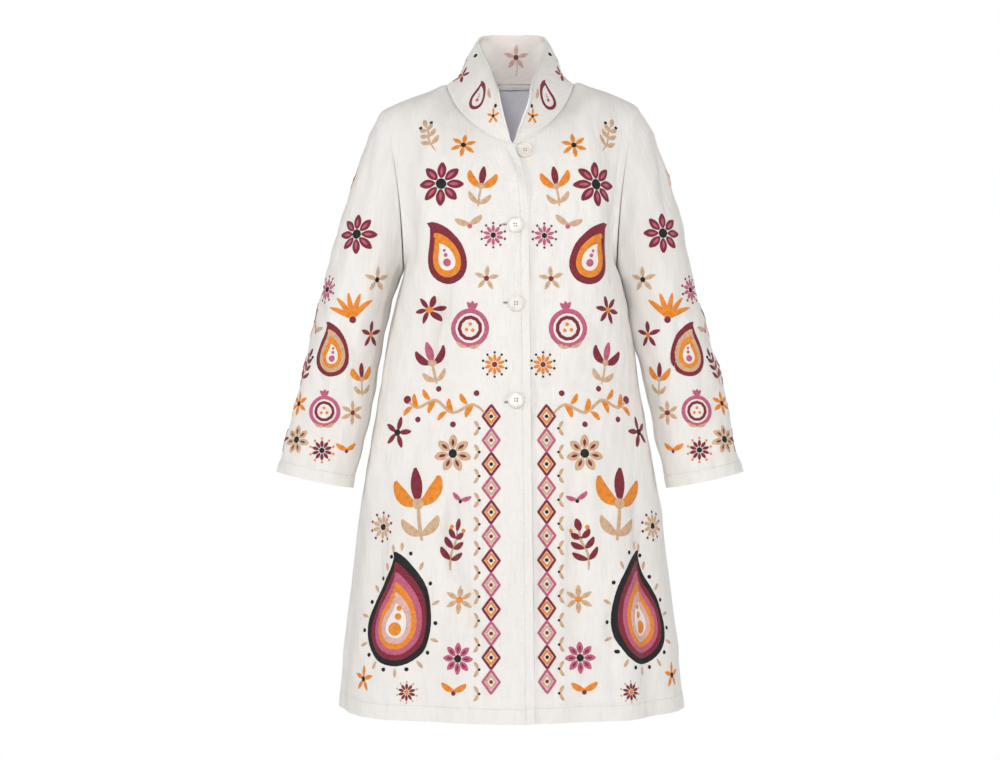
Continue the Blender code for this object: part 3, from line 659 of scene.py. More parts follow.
def upper_panel(turn, share, across, top, arrive, side, angle, edge_arrive):
    """Cloth above the underarm: each upright line leaves the ring below it, ends on the top
    edge, and near the sleeve gives way to the armhole seam."""
    base = body_ring(turn, np.full(np.shape(turn), UNDERARM_HEIGHT))
    length = np.linalg.norm(top - base, axis=-1, keepdims=True)
    t = share[..., None]
    line = hermite(t, base, rise(turn) * length, top, arrive * length)
    side_turn = np.full(np.shape(turn), side * math.pi / 2)
    corner = body_ring(side_turn, np.full(np.shape(turn), UNDERARM_HEIGHT))
    tip = shoulder_seam(side, np.ones(np.shape(turn)))
    reach = np.linalg.norm(tip - corner, axis=-1, keepdims=True)
    edge = hermite(t, corner, rise(side_turn) * reach, tip, np.array(edge_arrive) * reach)
    seam = armhole(side, math.pi * angle * (1 - share))
    return line + (np.clip(across, 0, 1)[..., None] ** SLEEVE_SIDE_FALLOFF) * (seam - edge)


def front(name, u, v):
    """A front panel: u from its free edge to the side, v from the hem up."""
    facts = FRONTS[name]
    side = facts["side"]
    lower = LOWER_ROWS / ALL_ROWS
    height = HEM_HEIGHT + (UNDERARM_HEIGHT - HEM_HEIGHT) * np.clip(v / lower, 0, 1)
    down = (UNDERARM_HEIGHT - height) / (UNDERARM_HEIGHT - HEM_HEIGHT)
    edge = facts["chest_edge"] + (facts["hem_edge"] - facts["chest_edge"]) * down
    half = read_table(BODY_RINGS, 1, height)
    square = read_table(BODY_RINGS, 4, height)
    start = -edge * (1 - square) / (half * (1 + 3 * square))
    turn = side * (start + (math.pi / 2 - start) * u)
    below = body_ring(turn, height)
    neck_share = FRONT_NECK_STEPS / FRONT_STEPS
    on_neck = u < neck_share
    neck_at = np.clip(u / neck_share, 0, 1)
    seam_at = np.clip((u - neck_share) / (1 - neck_share), 0, 1)
    neck = front_neckline(side, facts["neck_end"], neck_at)
    top = pick(on_neck, neck, shoulder_seam(side, seam_at))
    near_neck = NECK_FULLNESS * (1 - seam_at) ** 2
    on_shoulder = FRONT_ARRIVE[1] + 0.5 * near_neck
    lean_back = FREE_EDGE_LEAN + (on_shoulder - FREE_EDGE_LEAN) * ease(neck_at)
    pinch = NECK_PINCH * np.where(on_neck, np.sin(neck_at * math.pi / 2) ** 1.5, (1 - seam_at) ** 2)
    pull = side * (facts["pull"] * (1 - neck_at) ** 2 - pinch)
    climb = FREE_EDGE_CLIMB + (FRONT_ARRIVE[2] - FREE_EDGE_CLIMB) * ease(neck_at)
    arrive = point(pull, lean_back, climb)
    share = np.clip((v - lower) / (1 - lower), 0, 1)
    above = upper_panel(turn, share, u, top, arrive, side, 1, FRONT_ARRIVE)
    cloth = pick(v < lower, below, above)
    from_middle = side * cloth[..., 0]
    gone = ease((from_middle - LIFT_FULL_TO) / (LIFT_GONE_AT - LIFT_FULL_TO))
    lift = facts["lift"] * (1 - gone)
    return cloth + point(0.0, -lift, 0.0)


def back(u, v):
    """The back panel: u from -1 at the right side to 1 at the left, v from the hem up."""
    side = np.where(u < 0, -1, 1)
    out = np.abs(u)
    lower = LOWER_ROWS / ALL_ROWS
    height = HEM_HEIGHT + (UNDERARM_HEIGHT - HEM_HEIGHT) * np.clip(v / lower, 0, 1)
    turn = math.pi - u * math.pi / 2
    below = body_ring(turn, height)
    neck_share = BACK_NECK_STEPS / BACK_STEPS
    neck_at = np.clip(1 - out / neck_share, 0, 1)
    seam_at = np.clip((out - neck_share) / (1 - neck_share), 0, 1)
    on_neck = out < neck_share
    seam = pick(side < 0, shoulder_seam(-1, seam_at), shoulder_seam(1, seam_at))
    top = pick(on_neck, back_neckline(side, neck_at), seam)
    steepness = ease(neck_at) ** 1.5
    climb = BACK_ARRIVE[2] + (CENTRE_BACK_CLIMB - BACK_ARRIVE[2]) * steepness
    near_neck = NECK_FULLNESS * (1 - seam_at) ** 2
    backward = BACK_ARRIVE[1] - near_neck + (CENTRE_BACK_LEAN + NECK_FULLNESS) * steepness
    pinch = NECK_PINCH * np.where(on_neck, np.cos(neck_at * math.pi / 2) ** 1.5, (1 - seam_at) ** 2)
    arrive = point(-side * pinch, backward, climb)
    share = np.clip((v - lower) / (1 - lower), 0, 1)
    left = upper_panel(turn, share, out, top, arrive, 1, -1, BACK_ARRIVE)
    right = upper_panel(turn, share, out, top, arrive, -1, -1, BACK_ARRIVE)
    return pick(v < lower, below, pick(u < 0, right, left))


print("right front's neck corner:", np.round(front("front_right", np.array(0.0), np.array(1.0)), 4))

# %% [markdown]
# ## Sleeves and collar
# Each sleeve is one tube, set into its armhole with a little fullness over the shoulder. The collar
# stands on the neck seam and its open front ends roll outward.


# %% Sleeves and collar
def arm_ring(side, lean, angle, share):
    """A ring round the arm below the sleeve cap, at a share of the way to the cuff."""
    down = np.array((side * math.sin(lean), 0.0, -math.cos(lean)))
    out = np.array((side * math.cos(lean), 0.0, math.sin(lean)))
    half = read_table(ARM_RINGS, 1, share)
    deep = read_table(ARM_RINGS, 2, share)
    inner_x, inner_z = SLEEVE_TOP_INNER
    along = share[..., None] * down * SLEEVE_LENGTH_BELOW_TOP
    inner = np.array((side * inner_x, 0.0, inner_z)) + along
    middle = inner + out * half[..., None] + point(0.0, -SLEEVE_FORWARD * share**SLEEVE_BEND, 0.0)
    return middle + out * (half * np.cos(angle))[..., None] + point(0.0, -deep * np.sin(angle), 0.0)


def sleeve(name, angle, v):
    """A sleeve: angle round it from the shoulder down the front, v from the armhole to the cuff."""
    side = -1 if name == "sleeve_right" else 1
    lean = math.radians(SLEEVE_LEAN[name])
    cap = SLEEVE_CAP_ROWS / (SLEEVE_CAP_ROWS + SLEEVE_ARM_ROWS)
    arm = arm_ring(side, lean, angle, np.clip((v - cap) / (1 - cap), 0, 1))
    seam = armhole(side, angle)
    ring = arm_ring(side, lean, angle, np.zeros(np.shape(angle)))
    reach = np.linalg.norm(ring - seam, axis=-1, keepdims=True)
    above = (1 + np.cos(angle)) / 2
    down = np.array((side * math.sin(lean), 0.0, -math.cos(lean)))
    spread = side * (CAP_SPREAD + CAP_SPREAD_AT_TOP * above)
    leave = unit(down + point(spread, -CAP_SWELL * np.sin(angle), 0.0))
    pull = reach * (CAP_PULL - CAP_PULL_LESS_AT_TOP * above[..., None])
    t = np.clip(v / cap, 0, 1)[..., None]
    over = hermite(t, seam, leave * pull, ring, down * reach)
    return pick(v < cap, over, arm)


def neck_seam(share):
    """The seam that the collar stands on, from the right front end, -1, to the left, 1."""
    side = np.where(share < 0, -1, 1)
    out = np.abs(share)
    on_back = out < COLLAR_SHOULDER_SHARE
    back_at = np.clip(1 - out / COLLAR_SHOULDER_SHARE, 0, 1)
    front_at = np.clip((1 - out) / (1 - COLLAR_SHOULDER_SHARE), 0, 1)
    neck_share = FRONT_NECK_STEPS / FRONT_STEPS
    right = front("front_right", front_at * neck_share, np.ones(np.shape(share)))
    left = front("front_left", front_at * neck_share, np.ones(np.shape(share)))
    return pick(on_back, back_neckline(side, back_at), pick(side < 0, right, left))


def collar(share, v):
    """The collar: share from the right front end to the left, v from the neck seam to the top edge."""
    out = np.abs(share)
    low = neck_seam(share)
    shift = COLLAR_SHIFT_BACK + (COLLAR_SHIFT_FRONT - COLLAR_SHIFT_BACK) * out**2
    x = np.sign(share) * read_table(COLLAR_TOP, 1, out) + shift
    high = point(x, read_table(COLLAR_TOP, 2, out), read_table(COLLAR_TOP, 3, out))
    across = high - low
    away = unit(point(low[..., 0], low[..., 1] * COLLAR_BULGE_FORWARD, 0.0 * out))
    bulge = COLLAR_BULGE * np.clip(out / COLLAR_BULGE_FULL_FROM, 0, 1)
    first = low + across * np.array(COLLAR_LOW_PULL)
    second = high - across * np.array(COLLAR_HIGH_PULL) + away * bulge[..., None]
    t = v[..., None]
    s = 1 - t
    return s**3 * low + 3 * t * s**2 * first + 3 * t**2 * s * second + t**3 * high


def facing(points, outward, tube=False):
    """Unit directions out of a grid of points, averaged over the faces round each point."""
    if tube:
        points = np.concatenate([points, points[:, :1]], axis=1)
    faces = np.cross(points[1:, 1:] - points[:-1, :-1], points[1:, :-1] - points[:-1, 1:])
    total = np.zeros_like(points)
    for row in (slice(0, -1), slice(1, None)):
        for column in (slice(0, -1), slice(1, None)):
            total[row, column] += faces
    if tube:
        total[:, 0] += total[:, -1]
        total = total[:, :-1]
    return unit(total) * outward


print("cuff ring starts at", np.round(sleeve("sleeve_right", np.array(0.0), np.array(1.0)), 3))

# %% [markdown]
# ## Creases placed one by one
# Cloth on a body does not fold evenly. So each crease is a short line on the cloth, listed with its
# own depth and width: below zero it is a soft trough, above zero a ridge. Fronts and back
# are drawn by how far across and how high a point is. A sleeve is drawn on its opened tube: how far
# round from the shoulder line, and how far down. On top of them lies a low uneven swell, which all
# cloth has.

# %% Crease tables
def crease_table(rows):
    """Rows of depth and width in tenths of a millimetre, then the line's points in millimetres."""
    table = []
    for row in rows.strip().splitlines():
        sizes, line = row.split("|")
        knots = tuple(tuple(int(mm) / 1000 for mm in knot.split()) for knot in line.split(","))
        table.append((*(int(tenth) / 10000 for tenth in sizes.split()), knots))
    return table


FRONT_CREASES = crease_table("""
-36 95 | -109 -285, -107 -360, -110 -450
-24 75 | -94 -285, -95 -330, -98 -380
18 90 | -124 -330, -122 -400, -127 -455
-36 110 | -82 -575, -88 -650, -89 -735, -70 -760, -58 -800, -45 -870
22 130 | -62 -600, -64 -690, -52 -740
-26 90 | 61 -405, 59 -440, 61 -475
-34 110 | 99 -570, 96 -650, 94 -760, 100 -850
20 120 | 120 -560, 118 -660, 122 -740
-30 80 | -186 -75, -178 -120, -165 -170
-26 120 | -158 -180, -152 -240, -154 -300
-28 80 | 181 -78, 172 -125, 163 -165
-26 120 | 158 -180, 154 -250, 152 -310
26 90 | -16 -102, 3 -138, 17 -176
-14 70 | -64 -120, -48 -170, -40 -235
-12 80 | 75 -118, 61 -180, 58 -260
-18 90 | -140 -330, -100 -352, -62 -366
-14 80 | 138 -345, 104 -362, 70 -372
-22 120 | -190 -560, -196 -680, -205 -800, -210 -920
-22 120 | 186 -590, 196 -700, 202 -830, 206 -930
-18 100 | -125 -720, -130 -810, -136 -930
-18 100 | 148 -740, 150 -830, 155 -935
""")
BACK_CREASES = crease_table("""
-34 100 | -80 -300, -86 -370, -82 -450
-30 100 | 70 -320, 78 -400, 74 -480
-26 120 | -120 -80, -105 -150, -100 -230
-26 120 | 126 -85, 108 -160, 104 -225
-30 80 | -184 -80, -176 -130, -160 -190
-30 80 | 182 -78, 172 -126, 158 -180
20 140 | -10 -120, 6 -250, -4 -360
-24 100 | -130 -330, -70 -356, -20 -350
-22 100 | 128 -345, 80 -372, 30 -366
-34 120 | -50 -560, -62 -680, -58 -800, -70 -920
-34 120 | 66 -540, 58 -660, 72 -790, 66 -910
-24 120 | 150 -600, 160 -720, 166 -880
-24 120 | -158 -570, -164 -700, -176 -860
20 150 | 10 -600, 4 -760, 12 -930
""")
SLEEVE_WIDER = 1.5
SLEEVE_SHALLOWER = 0.50
SLEEVE_CREASES = crease_table("""
-28 70 | 30 30, 46 80, 58 120
-24 80 | 120 50, 128 110, 122 170
-26 70 | 62 215, 94 232, 130 222
-22 60 | 70 262, 104 250, 142 268
16 70 | 66 240, 100 242, 136 244
-20 70 | 52 330, 80 350, 112 345
-18 70 | 95 385, 85 430, 92 470
-26 80 | 240 60, 232 130, 246 200
-26 70 | 226 236, 262 250, 300 238
-22 70 | 220 276, 258 268, 296 290
-22 80 | 330 70, 322 120, 334 180
-20 70 | 268 360, 276 420, 262 470
""")
CREASE_DEPTH = 3.0
# amplitude, then waves in three metres across, deep and up, and a start
SWELLS = (
    (0.0011, 13.0, 7.0, 5.0, 0.4),
    (0.0009, -22.0, 11.0, 7.0, 2.1),
    (0.0007, 37.0, 9.0, -13.0, 4.0),
    (0.0007, -58.0, 20.0, 24.0, 1.2),
    (0.0005, 92.0, -31.0, 41.0, 5.3),
    (0.0003, 140.0, 60.0, -38.0, 3.3),
)


def creased(across, up, table):
    """How far a crease table moves the cloth, at places given by their two coordinates."""
    total = np.zeros(np.shape(across))
    for depth, width, line in table:
        closest = np.full(np.shape(across), 1e9)
        fade = np.zeros(np.shape(across))
        knots = np.array(line)
        lengths = np.linalg.norm(np.diff(knots, axis=0), axis=1)
        start = 0.0
        for first, step, length in zip(knots[:-1], np.diff(knots, axis=0), lengths):
            along = ((across - first[0]) * step[0] + (up - first[1]) * step[1]) / length**2
            held = np.clip(along, 0, 1)
            away = np.hypot(across - first[0] - held * step[0], up - first[1] - held * step[1])
            done = (start + held * length) / lengths.sum()
            nearer = away < closest
            fade = np.where(nearer, np.sin(math.pi * (0.06 + 0.88 * done)), fade)
            closest = np.minimum(closest, away)
            start += length
        total += CREASE_DEPTH * depth * fade * np.exp(-((closest / width) ** 2))
    return total


def swell(points):
    total = np.zeros(points.shape[:-1])
    for height, x, y, z, start in SWELLS:
        total += height * np.sin(2 * math.pi * (points @ np.array((x, y, z)) / 3) + start)
    return total


SLEEVE_CREASES = [
    (deep * SLEEVE_SHALLOWER, wide * SLEEVE_WIDER, line) for deep, wide, line in SLEEVE_CREASES
]
tables = (FRONT_CREASES, BACK_CREASES, SLEEVE_CREASES)
print("creases in front, behind and on a sleeve:", *map(len, tables))

# %% [markdown]
# ## A skin with two faces
# A skin is a closed shell: its outer face, the same face moved in by the cloth's thickness, and
# rims round the edges. The outside gets one material and the inside another, because the coat is
# lined. The map called cloth measures the fabric in metres along weft and warp, so that the weave
# keeps its size everywhere.


# %% Skin maker
def walked(points, axis):
    """Distance walked along the cloth, from the first line of points."""
    steps = np.linalg.norm(np.diff(points, axis=axis), axis=-1)
    total = np.cumsum(steps, axis=axis)
    return np.insert(total, 0, 0.0, axis=axis)


def skin(name, outer, out, wall, materials, tube=False):
    """A closed shell from a grid of outer points and directions out of the cloth."""
    rows, columns = outer.shape[:2]
    inner = outer - out * wall
    places = np.concatenate([outer.reshape(-1, 3), inner.reshape(-1, 3)])
    wide = columns if tube else columns - 1
    row, column = np.meshgrid(np.arange(rows - 1), np.arange(wide), indexing="ij")
    ring = np.concatenate([outer, outer[:, :1]], axis=1) if tube else outer
    chart = np.stack([walked(ring, 1), walked(ring, 0)], axis=-1)
    deep = rows * columns

    def corner(r, c, layer):
        return layer * deep + r * columns + c % columns

    def quads(cells, layer):
        corners = [corner(r, c, side) for (r, c), side in zip(cells, layer)]
        return np.stack(corners, axis=-1).reshape(-1, 4)

    def spots(cells):
        return np.stack([chart[r, c] for r, c in cells], axis=-2).reshape(-1, 4, 2)

    face = ((row, column), (row, column + 1), (row + 1, column + 1), (row + 1, column))
    over = np.arange(wide)
    low, high = np.zeros(wide, int), np.full(wide, rows - 1)
    up = np.arange(rows - 1)
    left, right = np.zeros(rows - 1, int), np.full(rows - 1, columns - 1)
    parts = [(face, (0, 0, 0, 0), 0), (face[::-1], (1, 1, 1, 1), 1)]
    rims = [((low, over + 1), (low, over)), ((high, over), (high, over + 1))]
    if not tube:
        rims += [((up, left), (up + 1, left)), ((up + 1, right), (up, right))]
    parts += [((one, two, two, one), (0, 0, 1, 1), 0) for one, two in rims]
    faces = np.concatenate([quads(cells, layers) for cells, layers, _ in parts])
    charts = np.concatenate([spots(cells) for cells, _, _ in parts])
    kinds = np.concatenate([np.full(cells[0][0].size, kind) for cells, _, kind in parts])
    r, c = rows // 2, wide // 2
    if np.dot(np.cross(outer[r, c + 1] - outer[r, c], outer[r + 1, c] - outer[r, c]), out[r, c]) < 0:
        faces, charts = faces[:, ::-1], charts[:, ::-1]
    mesh = bpy.data.meshes.new(name)
    mesh.from_pydata(places.tolist(), [], faces.tolist())
    mesh.uv_layers.new(name="cloth").data.foreach_set("uv", charts.ravel())
    for made in materials:
        mesh.materials.append(made)
    mesh.polygons.foreach_set("material_index", kinds.astype(np.int32))
    mesh.shade_smooth()
    mesh.set_sharp_from_angle(angle=SHARP_ANGLE)
    return linked(name, mesh)


print("skin maker ready")

# %% [markdown]
# ## Hems, edges and seams
# A hem is cloth turned up twice and stitched. So the band stands a little proud, the stitch line
# sinks into it, and the cloth puckers where the thread pulls. Seams sink a little as well. Each
# rule is a distance from an edge and gives a small push in or out.

# %% Pushes near the edges
LOWER = LOWER_ROWS / ALL_ROWS
HEM_BAND = 0.0225
CUFF_BAND = 0.0185
EDGE_BAND = 0.0125
BAND_PROUD = 0.0006
GROOVE = 0.0011
PUCKER = 0.00035
PUCKER_WAVES = (520, 233)
GROOVE_REACH = 0.0019
PUCKER_REACH = 0.007
SEAM_SINK = 0.0009
SEAM_REACH = 0.0035
UNDERARM_PASSES = 90
UNDERARM_CLOSENESS = 7.5
CORNER_PASSES = 110
CORNER_REACH = 0.075
SOFT_FROM_SEAM = 0.03
SWELL_FROM_EDGE = 0.03
SWELL_FROM_SIDE = 0.02
SWELL_FROM_TOP = 0.04


def banded(distance, along, band):
    """A turned and stitched edge: proud band, sunk stitch line, small puckers."""
    proud = BAND_PROUD * (1 - ease((distance - band + 0.001) / 0.003))
    groove = -GROOVE * np.exp(-(((distance - band) / GROOVE_REACH) ** 2))
    close = np.exp(-(((distance - band) / PUCKER_REACH) ** 2))
    short, long = PUCKER_WAVES
    pucker = PUCKER * close * (np.sin(along * short) + 0.6 * np.sin(along * long + 1))
    return proud + groove + pucker


def seam_valley(distance):
    return -SEAM_SINK * np.exp(-((distance / SEAM_REACH) ** 2))


def softened(points, rows, near_seam):
    """Lets the cloth pass smoothly over the underarm's height and round the neck's corners."""
    close = 0.5 * np.exp(-(((rows - LOWER) * UNDERARM_CLOSENESS) ** 2))[:, None] * near_seam
    for _ in range(UNDERARM_PASSES):
        middle = (points[:-2] + points[2:]) / 2
        points[1:-1] += (middle - points[1:-1]) * close[1:-1, :, None]
    for side in (-1, 1):
        corner = shoulder_seam(side, np.array(0.0))
        gap = np.linalg.norm(points - corner, axis=-1)
        near = 0.5 * np.exp(-((gap / CORNER_REACH) ** 2))[1:-1, 1:-1, None]
        for _ in range(CORNER_PASSES):
            inner = points[1:-1, 1:-1]
            middle = (points[:-2, 1:-1] + points[2:, 1:-1] + points[1:-1, :-2] + points[1:-1, 2:]) / 4
            points[1:-1, 1:-1] = inner + (middle - inner) * near
    return points


NECK_FLARES = ((-1, 0.0072), (1, 0.0086))
FLARE_REACH = np.array((0.020, 0.036, 0.024))


def flared(points):
    """Lifts the cloth where the collar meets each shoulder seam, so that the neck flows outward."""
    for side, height in NECK_FLARES:
        gap = (points - shoulder_seam(side, np.array(0.0))) / FLARE_REACH
        near = np.exp(-(gap**2).sum(axis=-1))[..., None]
        points = points + near * height * np.array((side * 0.35, 0.0, 0.94))
    return points


def clear_of(distance, reach=0.014):
    """0 on a seam and 1 beyond this reach, so that creases die out before the seam."""
    return ease(distance / reach)


def body_push(points, table, from_side, from_top):
    """Creases that die out before the seams, and the seams' own valleys, on a panel of the body."""
    push = creased(points[..., 0], points[..., 2], table) * clear_of(from_side) * clear_of(from_top)
    return push, seam_valley(from_side) + seam_valley(from_top)


def dressed(node, points, out, push, wall=BODY_WALL, inside=lining, tube=False):
    """One cloth piece: its skin, pushed along its directions, in place of its CAD solid."""
    points = flared(points + out * push[..., None])
    made = skin(node + "_cloth", points, out, wall, (linen, inside), tube)
    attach(made, "root")
    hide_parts(node)
    print(node, len(made.data.polygons), "faces, first edge", round(float(walked(points, 1)[0, -1]), 3), "m")
    return made, points, out


print("bands:", HEM_BAND, CUFF_BAND, EDGE_BAND)

# %% [markdown]
# ## The fronts
# Each front is its own cut piece, so it is its own skin. The columns of the grid gather near the
# free edge and the rows near the hem, to give the stitch lines room.

# %% Fronts
# Distances in from the edge, in tenths of a millimetre
NEAR_EDGE = np.array((0, 12, 40, 75, 100, 114, 125, 136, 150, 180, 220, 260)) / 10000
NEAR_HEM = np.array((0, 12, 50, 100, 150, 190, 208, 225, 242, 265, 300, 360)) / 10000


def body_rows():
    low = NEAR_HEM / (UNDERARM_HEIGHT - HEM_HEIGHT) * LOWER
    middle = np.linspace(low[-1], LOWER, 86)[1:]
    return np.concatenate([low, middle, np.linspace(LOWER, 1, 56)[1:]])


def front_columns(name, rows):
    """Where the columns lie on each row, finer near the free edge."""
    even = np.linspace(0, 1, 41)
    line = front(name, even[None, :], rows[:, None] * np.ones((1, 41)))
    length = walked(line, 1)[:, -1:]
    near = NEAR_EDGE[None, :] / length
    rest = near[:, -1:] + (1 - near[:, -1:]) * np.linspace(0, 1, 85)[None, 1:]
    return np.concatenate([near, rest], axis=1)


def front_skin(name):
    side = FRONTS[name]["side"]
    rows = body_rows()
    u = front_columns(name, rows)
    v = rows[:, None] * np.ones_like(u)
    points = front(name, u, v)
    across = walked(points, 1)
    points = softened(points, rows, clear_of(across[:, -1:] - across, SOFT_FROM_SEAM))
    out = facing(points, side)
    from_edge, from_hem = walked(points, 1), walked(points, 0)
    from_side = from_edge[:, -1:] - from_edge
    from_top = from_hem[-1:] - from_hem
    push, valleys = body_push(points, FRONT_CREASES, from_side, from_top)
    waves = swell(points) * clear_of(from_edge, SWELL_FROM_EDGE) * clear_of(from_side, SWELL_FROM_SIDE)
    push += waves * clear_of(from_top, SWELL_FROM_TOP)
    push += banded(from_hem, from_edge, HEM_BAND) + banded(from_edge, from_hem, EDGE_BAND)
    push += valleys
    return dressed(name, points, out, push)


cloth = {name: front_skin(name) for name in FRONTS}

# %% [markdown]
# ## The back
# The back is a single flared panel. It has creases of its own: long troughs below the waist, short
# ones at the armholes and a few that run across.

# %% Back
ACROSS_BACK = 153


def back_skin():
    rows = body_rows()
    u, v = np.meshgrid(np.linspace(-1, 1, ACROSS_BACK), rows)
    points = back(u, v)
    across = walked(points, 1)
    near_side = np.minimum(across, across[:, -1:] - across)
    points = softened(points, rows, clear_of(near_side, SOFT_FROM_SEAM))
    out = facing(points, -1)
    across, from_hem = walked(points, 1), walked(points, 0)
    from_side = np.minimum(across, across[:, -1:] - across)
    from_top = from_hem[-1:] - from_hem
    push, valleys = body_push(points, BACK_CREASES, from_side, from_top)
    waves = swell(points) * clear_of(from_side, SWELL_FROM_SIDE) * clear_of(from_top, SWELL_FROM_TOP)
    push += waves + banded(from_hem, across, HEM_BAND)
    push += valleys
    return dressed("back", points, out, push)


cloth["back"] = back_skin()

# %% [markdown]
# ## The sleeves
# A sleeve is cut as one piece and closed along the inner arm, so its skin is a tube. The two
# sleeves get the same creases, one set turned and shifted, because no two arms crease alike.

# %% Sleeves
CAP = SLEEVE_CAP_ROWS / (SLEEVE_CAP_ROWS + SLEEVE_ARM_ROWS)
NEAR_CUFF = np.array((300, 250, 215, 198, 185, 172, 150, 100, 50, 12, 0)) / 10000
AROUND_ARM = 104
ARM_RADIUS = 0.058
SLEEVE_SWELL = 1.4
SLEEVE_MAP = {"sleeve_right": (0.0, 0.0), "sleeve_left": (0.012, -0.022)}


def sleeve_rows():
    ends = 1 - NEAR_CUFF / SLEEVE_LENGTH_BELOW_TOP * (1 - CAP)
    return np.concatenate([np.linspace(0, CAP, 34)[:-1], np.linspace(CAP, ends[0], 74), ends[1:]])


def sleeve_skin(name):
    side = -1 if name == "sleeve_right" else 1
    rows = sleeve_rows()
    angle, v = np.meshgrid(np.arange(AROUND_ARM) * 2 * math.pi / AROUND_ARM, rows)
    points = sleeve(name, angle, v)
    out = facing(points, side, tube=True)
    round_arm, down = walked(points, 1), walked(points, 0)
    from_cuff = down[-1:] - down
    turn, shift = SLEEVE_MAP[name]
    push = creased(angle * ARM_RADIUS + turn, down + shift, SLEEVE_CREASES) * clear_of(down)
    push += swell(points + np.array((0.0, 0.0, turn * 9))) * SLEEVE_SWELL * clear_of(down)
    push += banded(from_cuff, round_arm, CUFF_BAND) + seam_valley(down)
    return dressed(name, points, out, push, tube=True)


for name in SLEEVE_LEAN:
    cloth[name] = sleeve_skin(name)

# %% [markdown]
# ## The collar
# The collar is one band, stiffened a little, that stands at the back and rolls open in front. Its
# inside is the same linen, and it shows upright wrinkles where the band bends round the neck.

# %% Collar
# share of the half collar, depth, width
COLLAR_WRINKLES = (
    (-0.30, -0.0012, 0.030),
    (-0.21, 0.0008, 0.020),
    (-0.12, -0.0014, 0.026),
    (-0.02, 0.0007, 0.030),
    (0.09, -0.0013, 0.028),
    (0.19, 0.0008, 0.022),
    (0.29, -0.0013, 0.030),
)
COLLAR_EDGE_BAND = 0.005
COLLAR_GROOVE = 0.0006
COLLAR_GROOVE_REACH = 0.0018
COLLAR_SWELL = 0.7


def collar_groove(distance):
    """The sunk line of the stitches near the collar's edges."""
    return COLLAR_GROOVE * np.exp(-(((distance - COLLAR_EDGE_BAND) / COLLAR_GROOVE_REACH) ** 2))


def collar_skin():
    even = np.linspace(0, 1, 81)
    share = np.concatenate([-even[::-1], even[1:]])
    rows = np.concatenate([np.linspace(0, 0.08, 6)[:-1], np.linspace(0.08, 0.96, 30), (0.985, 1.0)])
    share, v = np.meshgrid(share, rows)
    points = collar(share, v)
    out = facing(points, -1)
    along, up = walked(points, 1), walked(points, 0)
    from_top = up[-1:] - up
    from_ends = np.minimum(along, along[:, -1:] - along)
    push = swell(points) * COLLAR_SWELL * clear_of(up)
    for place, depth, width in COLLAR_WRINKLES:
        lean = place + 0.02 * np.sin(v * 5 + place * 40)
        push += depth * np.exp(-(((share - lean) / width) ** 2)) * np.sin(math.pi * np.clip(v * 1.1, 0, 1))
    push += seam_valley(up) - collar_groove(from_top)
    push -= collar_groove(from_ends)
    return dressed("collar", points, out, push, COLLAR_WALL, linen_inside)


cloth["collar"] = collar_skin()

# %% [markdown]
# ## Lining and hanger loop
# The lining shows only inside the back of the neck. It is cut a little full, so it lies in soft
# upright ripples. The hanger loop is a narrow folded strip of the linen, sewn down at both ends, and
# it bows off the lining in the middle. Both are skins too, read from the back's own formula.

# %% Lining and loop
LINING_HALF_WIDTH = 5 / 13
LINING_DOWN = 9 / ALL_ROWS
LINING_TOP = 0.9985
LINING_OFF = 0.0007
LINING_HANG = 0.0016
RIPPLES = ((0.0009, 26.0, 0.6), (0.0006, 47.0, 2.0), (0.0004, 83.0, 4.4))
LOOP_MIDDLE = 0.0096
LOOP_HALF_LENGTH = 0.030
LOOP_WIDTH = 0.0064
LOOP_THICK = 0.0015
LOOP_OFF = 0.0021
LOOP_BOW = 0.0012
LOOP_CROWN = 0.0005
LOOP_BELOW_EDGE = 0.0005


def lining_face(rows, columns):
    """Points and inward directions of the lining's inner face."""
    down = np.linspace(1 - LINING_DOWN, LINING_TOP, rows)
    u, v = np.meshgrid(np.linspace(-1, 1, columns) * LINING_HALF_WIDTH, down)
    points = softened(back(u, v), v[:, 0], np.ones_like(v))
    out = facing(points, -1)
    push = creased(points[..., 0], points[..., 2], BACK_CREASES) + swell(points)
    points = points + out * push[..., None]
    across = walked(points, 1)
    hang = np.linspace(1, 0, rows)[:, None] ** 0.7
    ripple = sum(size * (1 + np.sin(across * turns * math.pi + start)) for size, turns, start in RIPPLES)
    off = BODY_WALL + LINING_OFF + LINING_HANG * hang + ripple * hang
    return points - out * off[..., None], out


face, away = lining_face(64, 110)
neck_lining = skin("neck_lining", face, away, LINING_WALL, (lining, lining))
top, under, direction = face[-1], face[-4], away[-1]
middle = np.searchsorted(top[:, 0], LOOP_MIDDLE)
reach = int(np.searchsorted(top[:, 0], LOOP_MIDDLE + LOOP_HALF_LENGTH)) - middle
picked = slice(middle - reach, middle + reach + 1)
across = np.linspace(-1, 1, 2 * reach + 1)
down = unit(under - top)[picked]
off = LOOP_OFF + LOOP_BOW * (1 - across**2)
shares = np.array((0.0, 0.08, 0.25, 0.5, 0.75, 0.92, 1.0))[:, None, None]
crown = LOOP_CROWN * np.sin(math.pi * shares)
ribbon = top[picked] - direction[picked] * off[:, None]
ribbon = ribbon + down * (LOOP_BELOW_EDGE + LOOP_WIDTH * (1 - shares))
ribbon = ribbon - direction[picked] * crown
directions = np.broadcast_to(direction[picked], ribbon.shape)
loop = skin("loop_strip", ribbon, directions, LOOP_THICK, (linen, linen))
for made, node, finish in ((neck_lining, "back_lining", "lining"), (loop, "hanger_loop", "cloth")):
    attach(made, "root")
    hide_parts(node)
print("lining", np.round(walked(face, 1)[0, -1], 3), "x", np.round(walked(face, 0)[-1, 55], 3), "m")

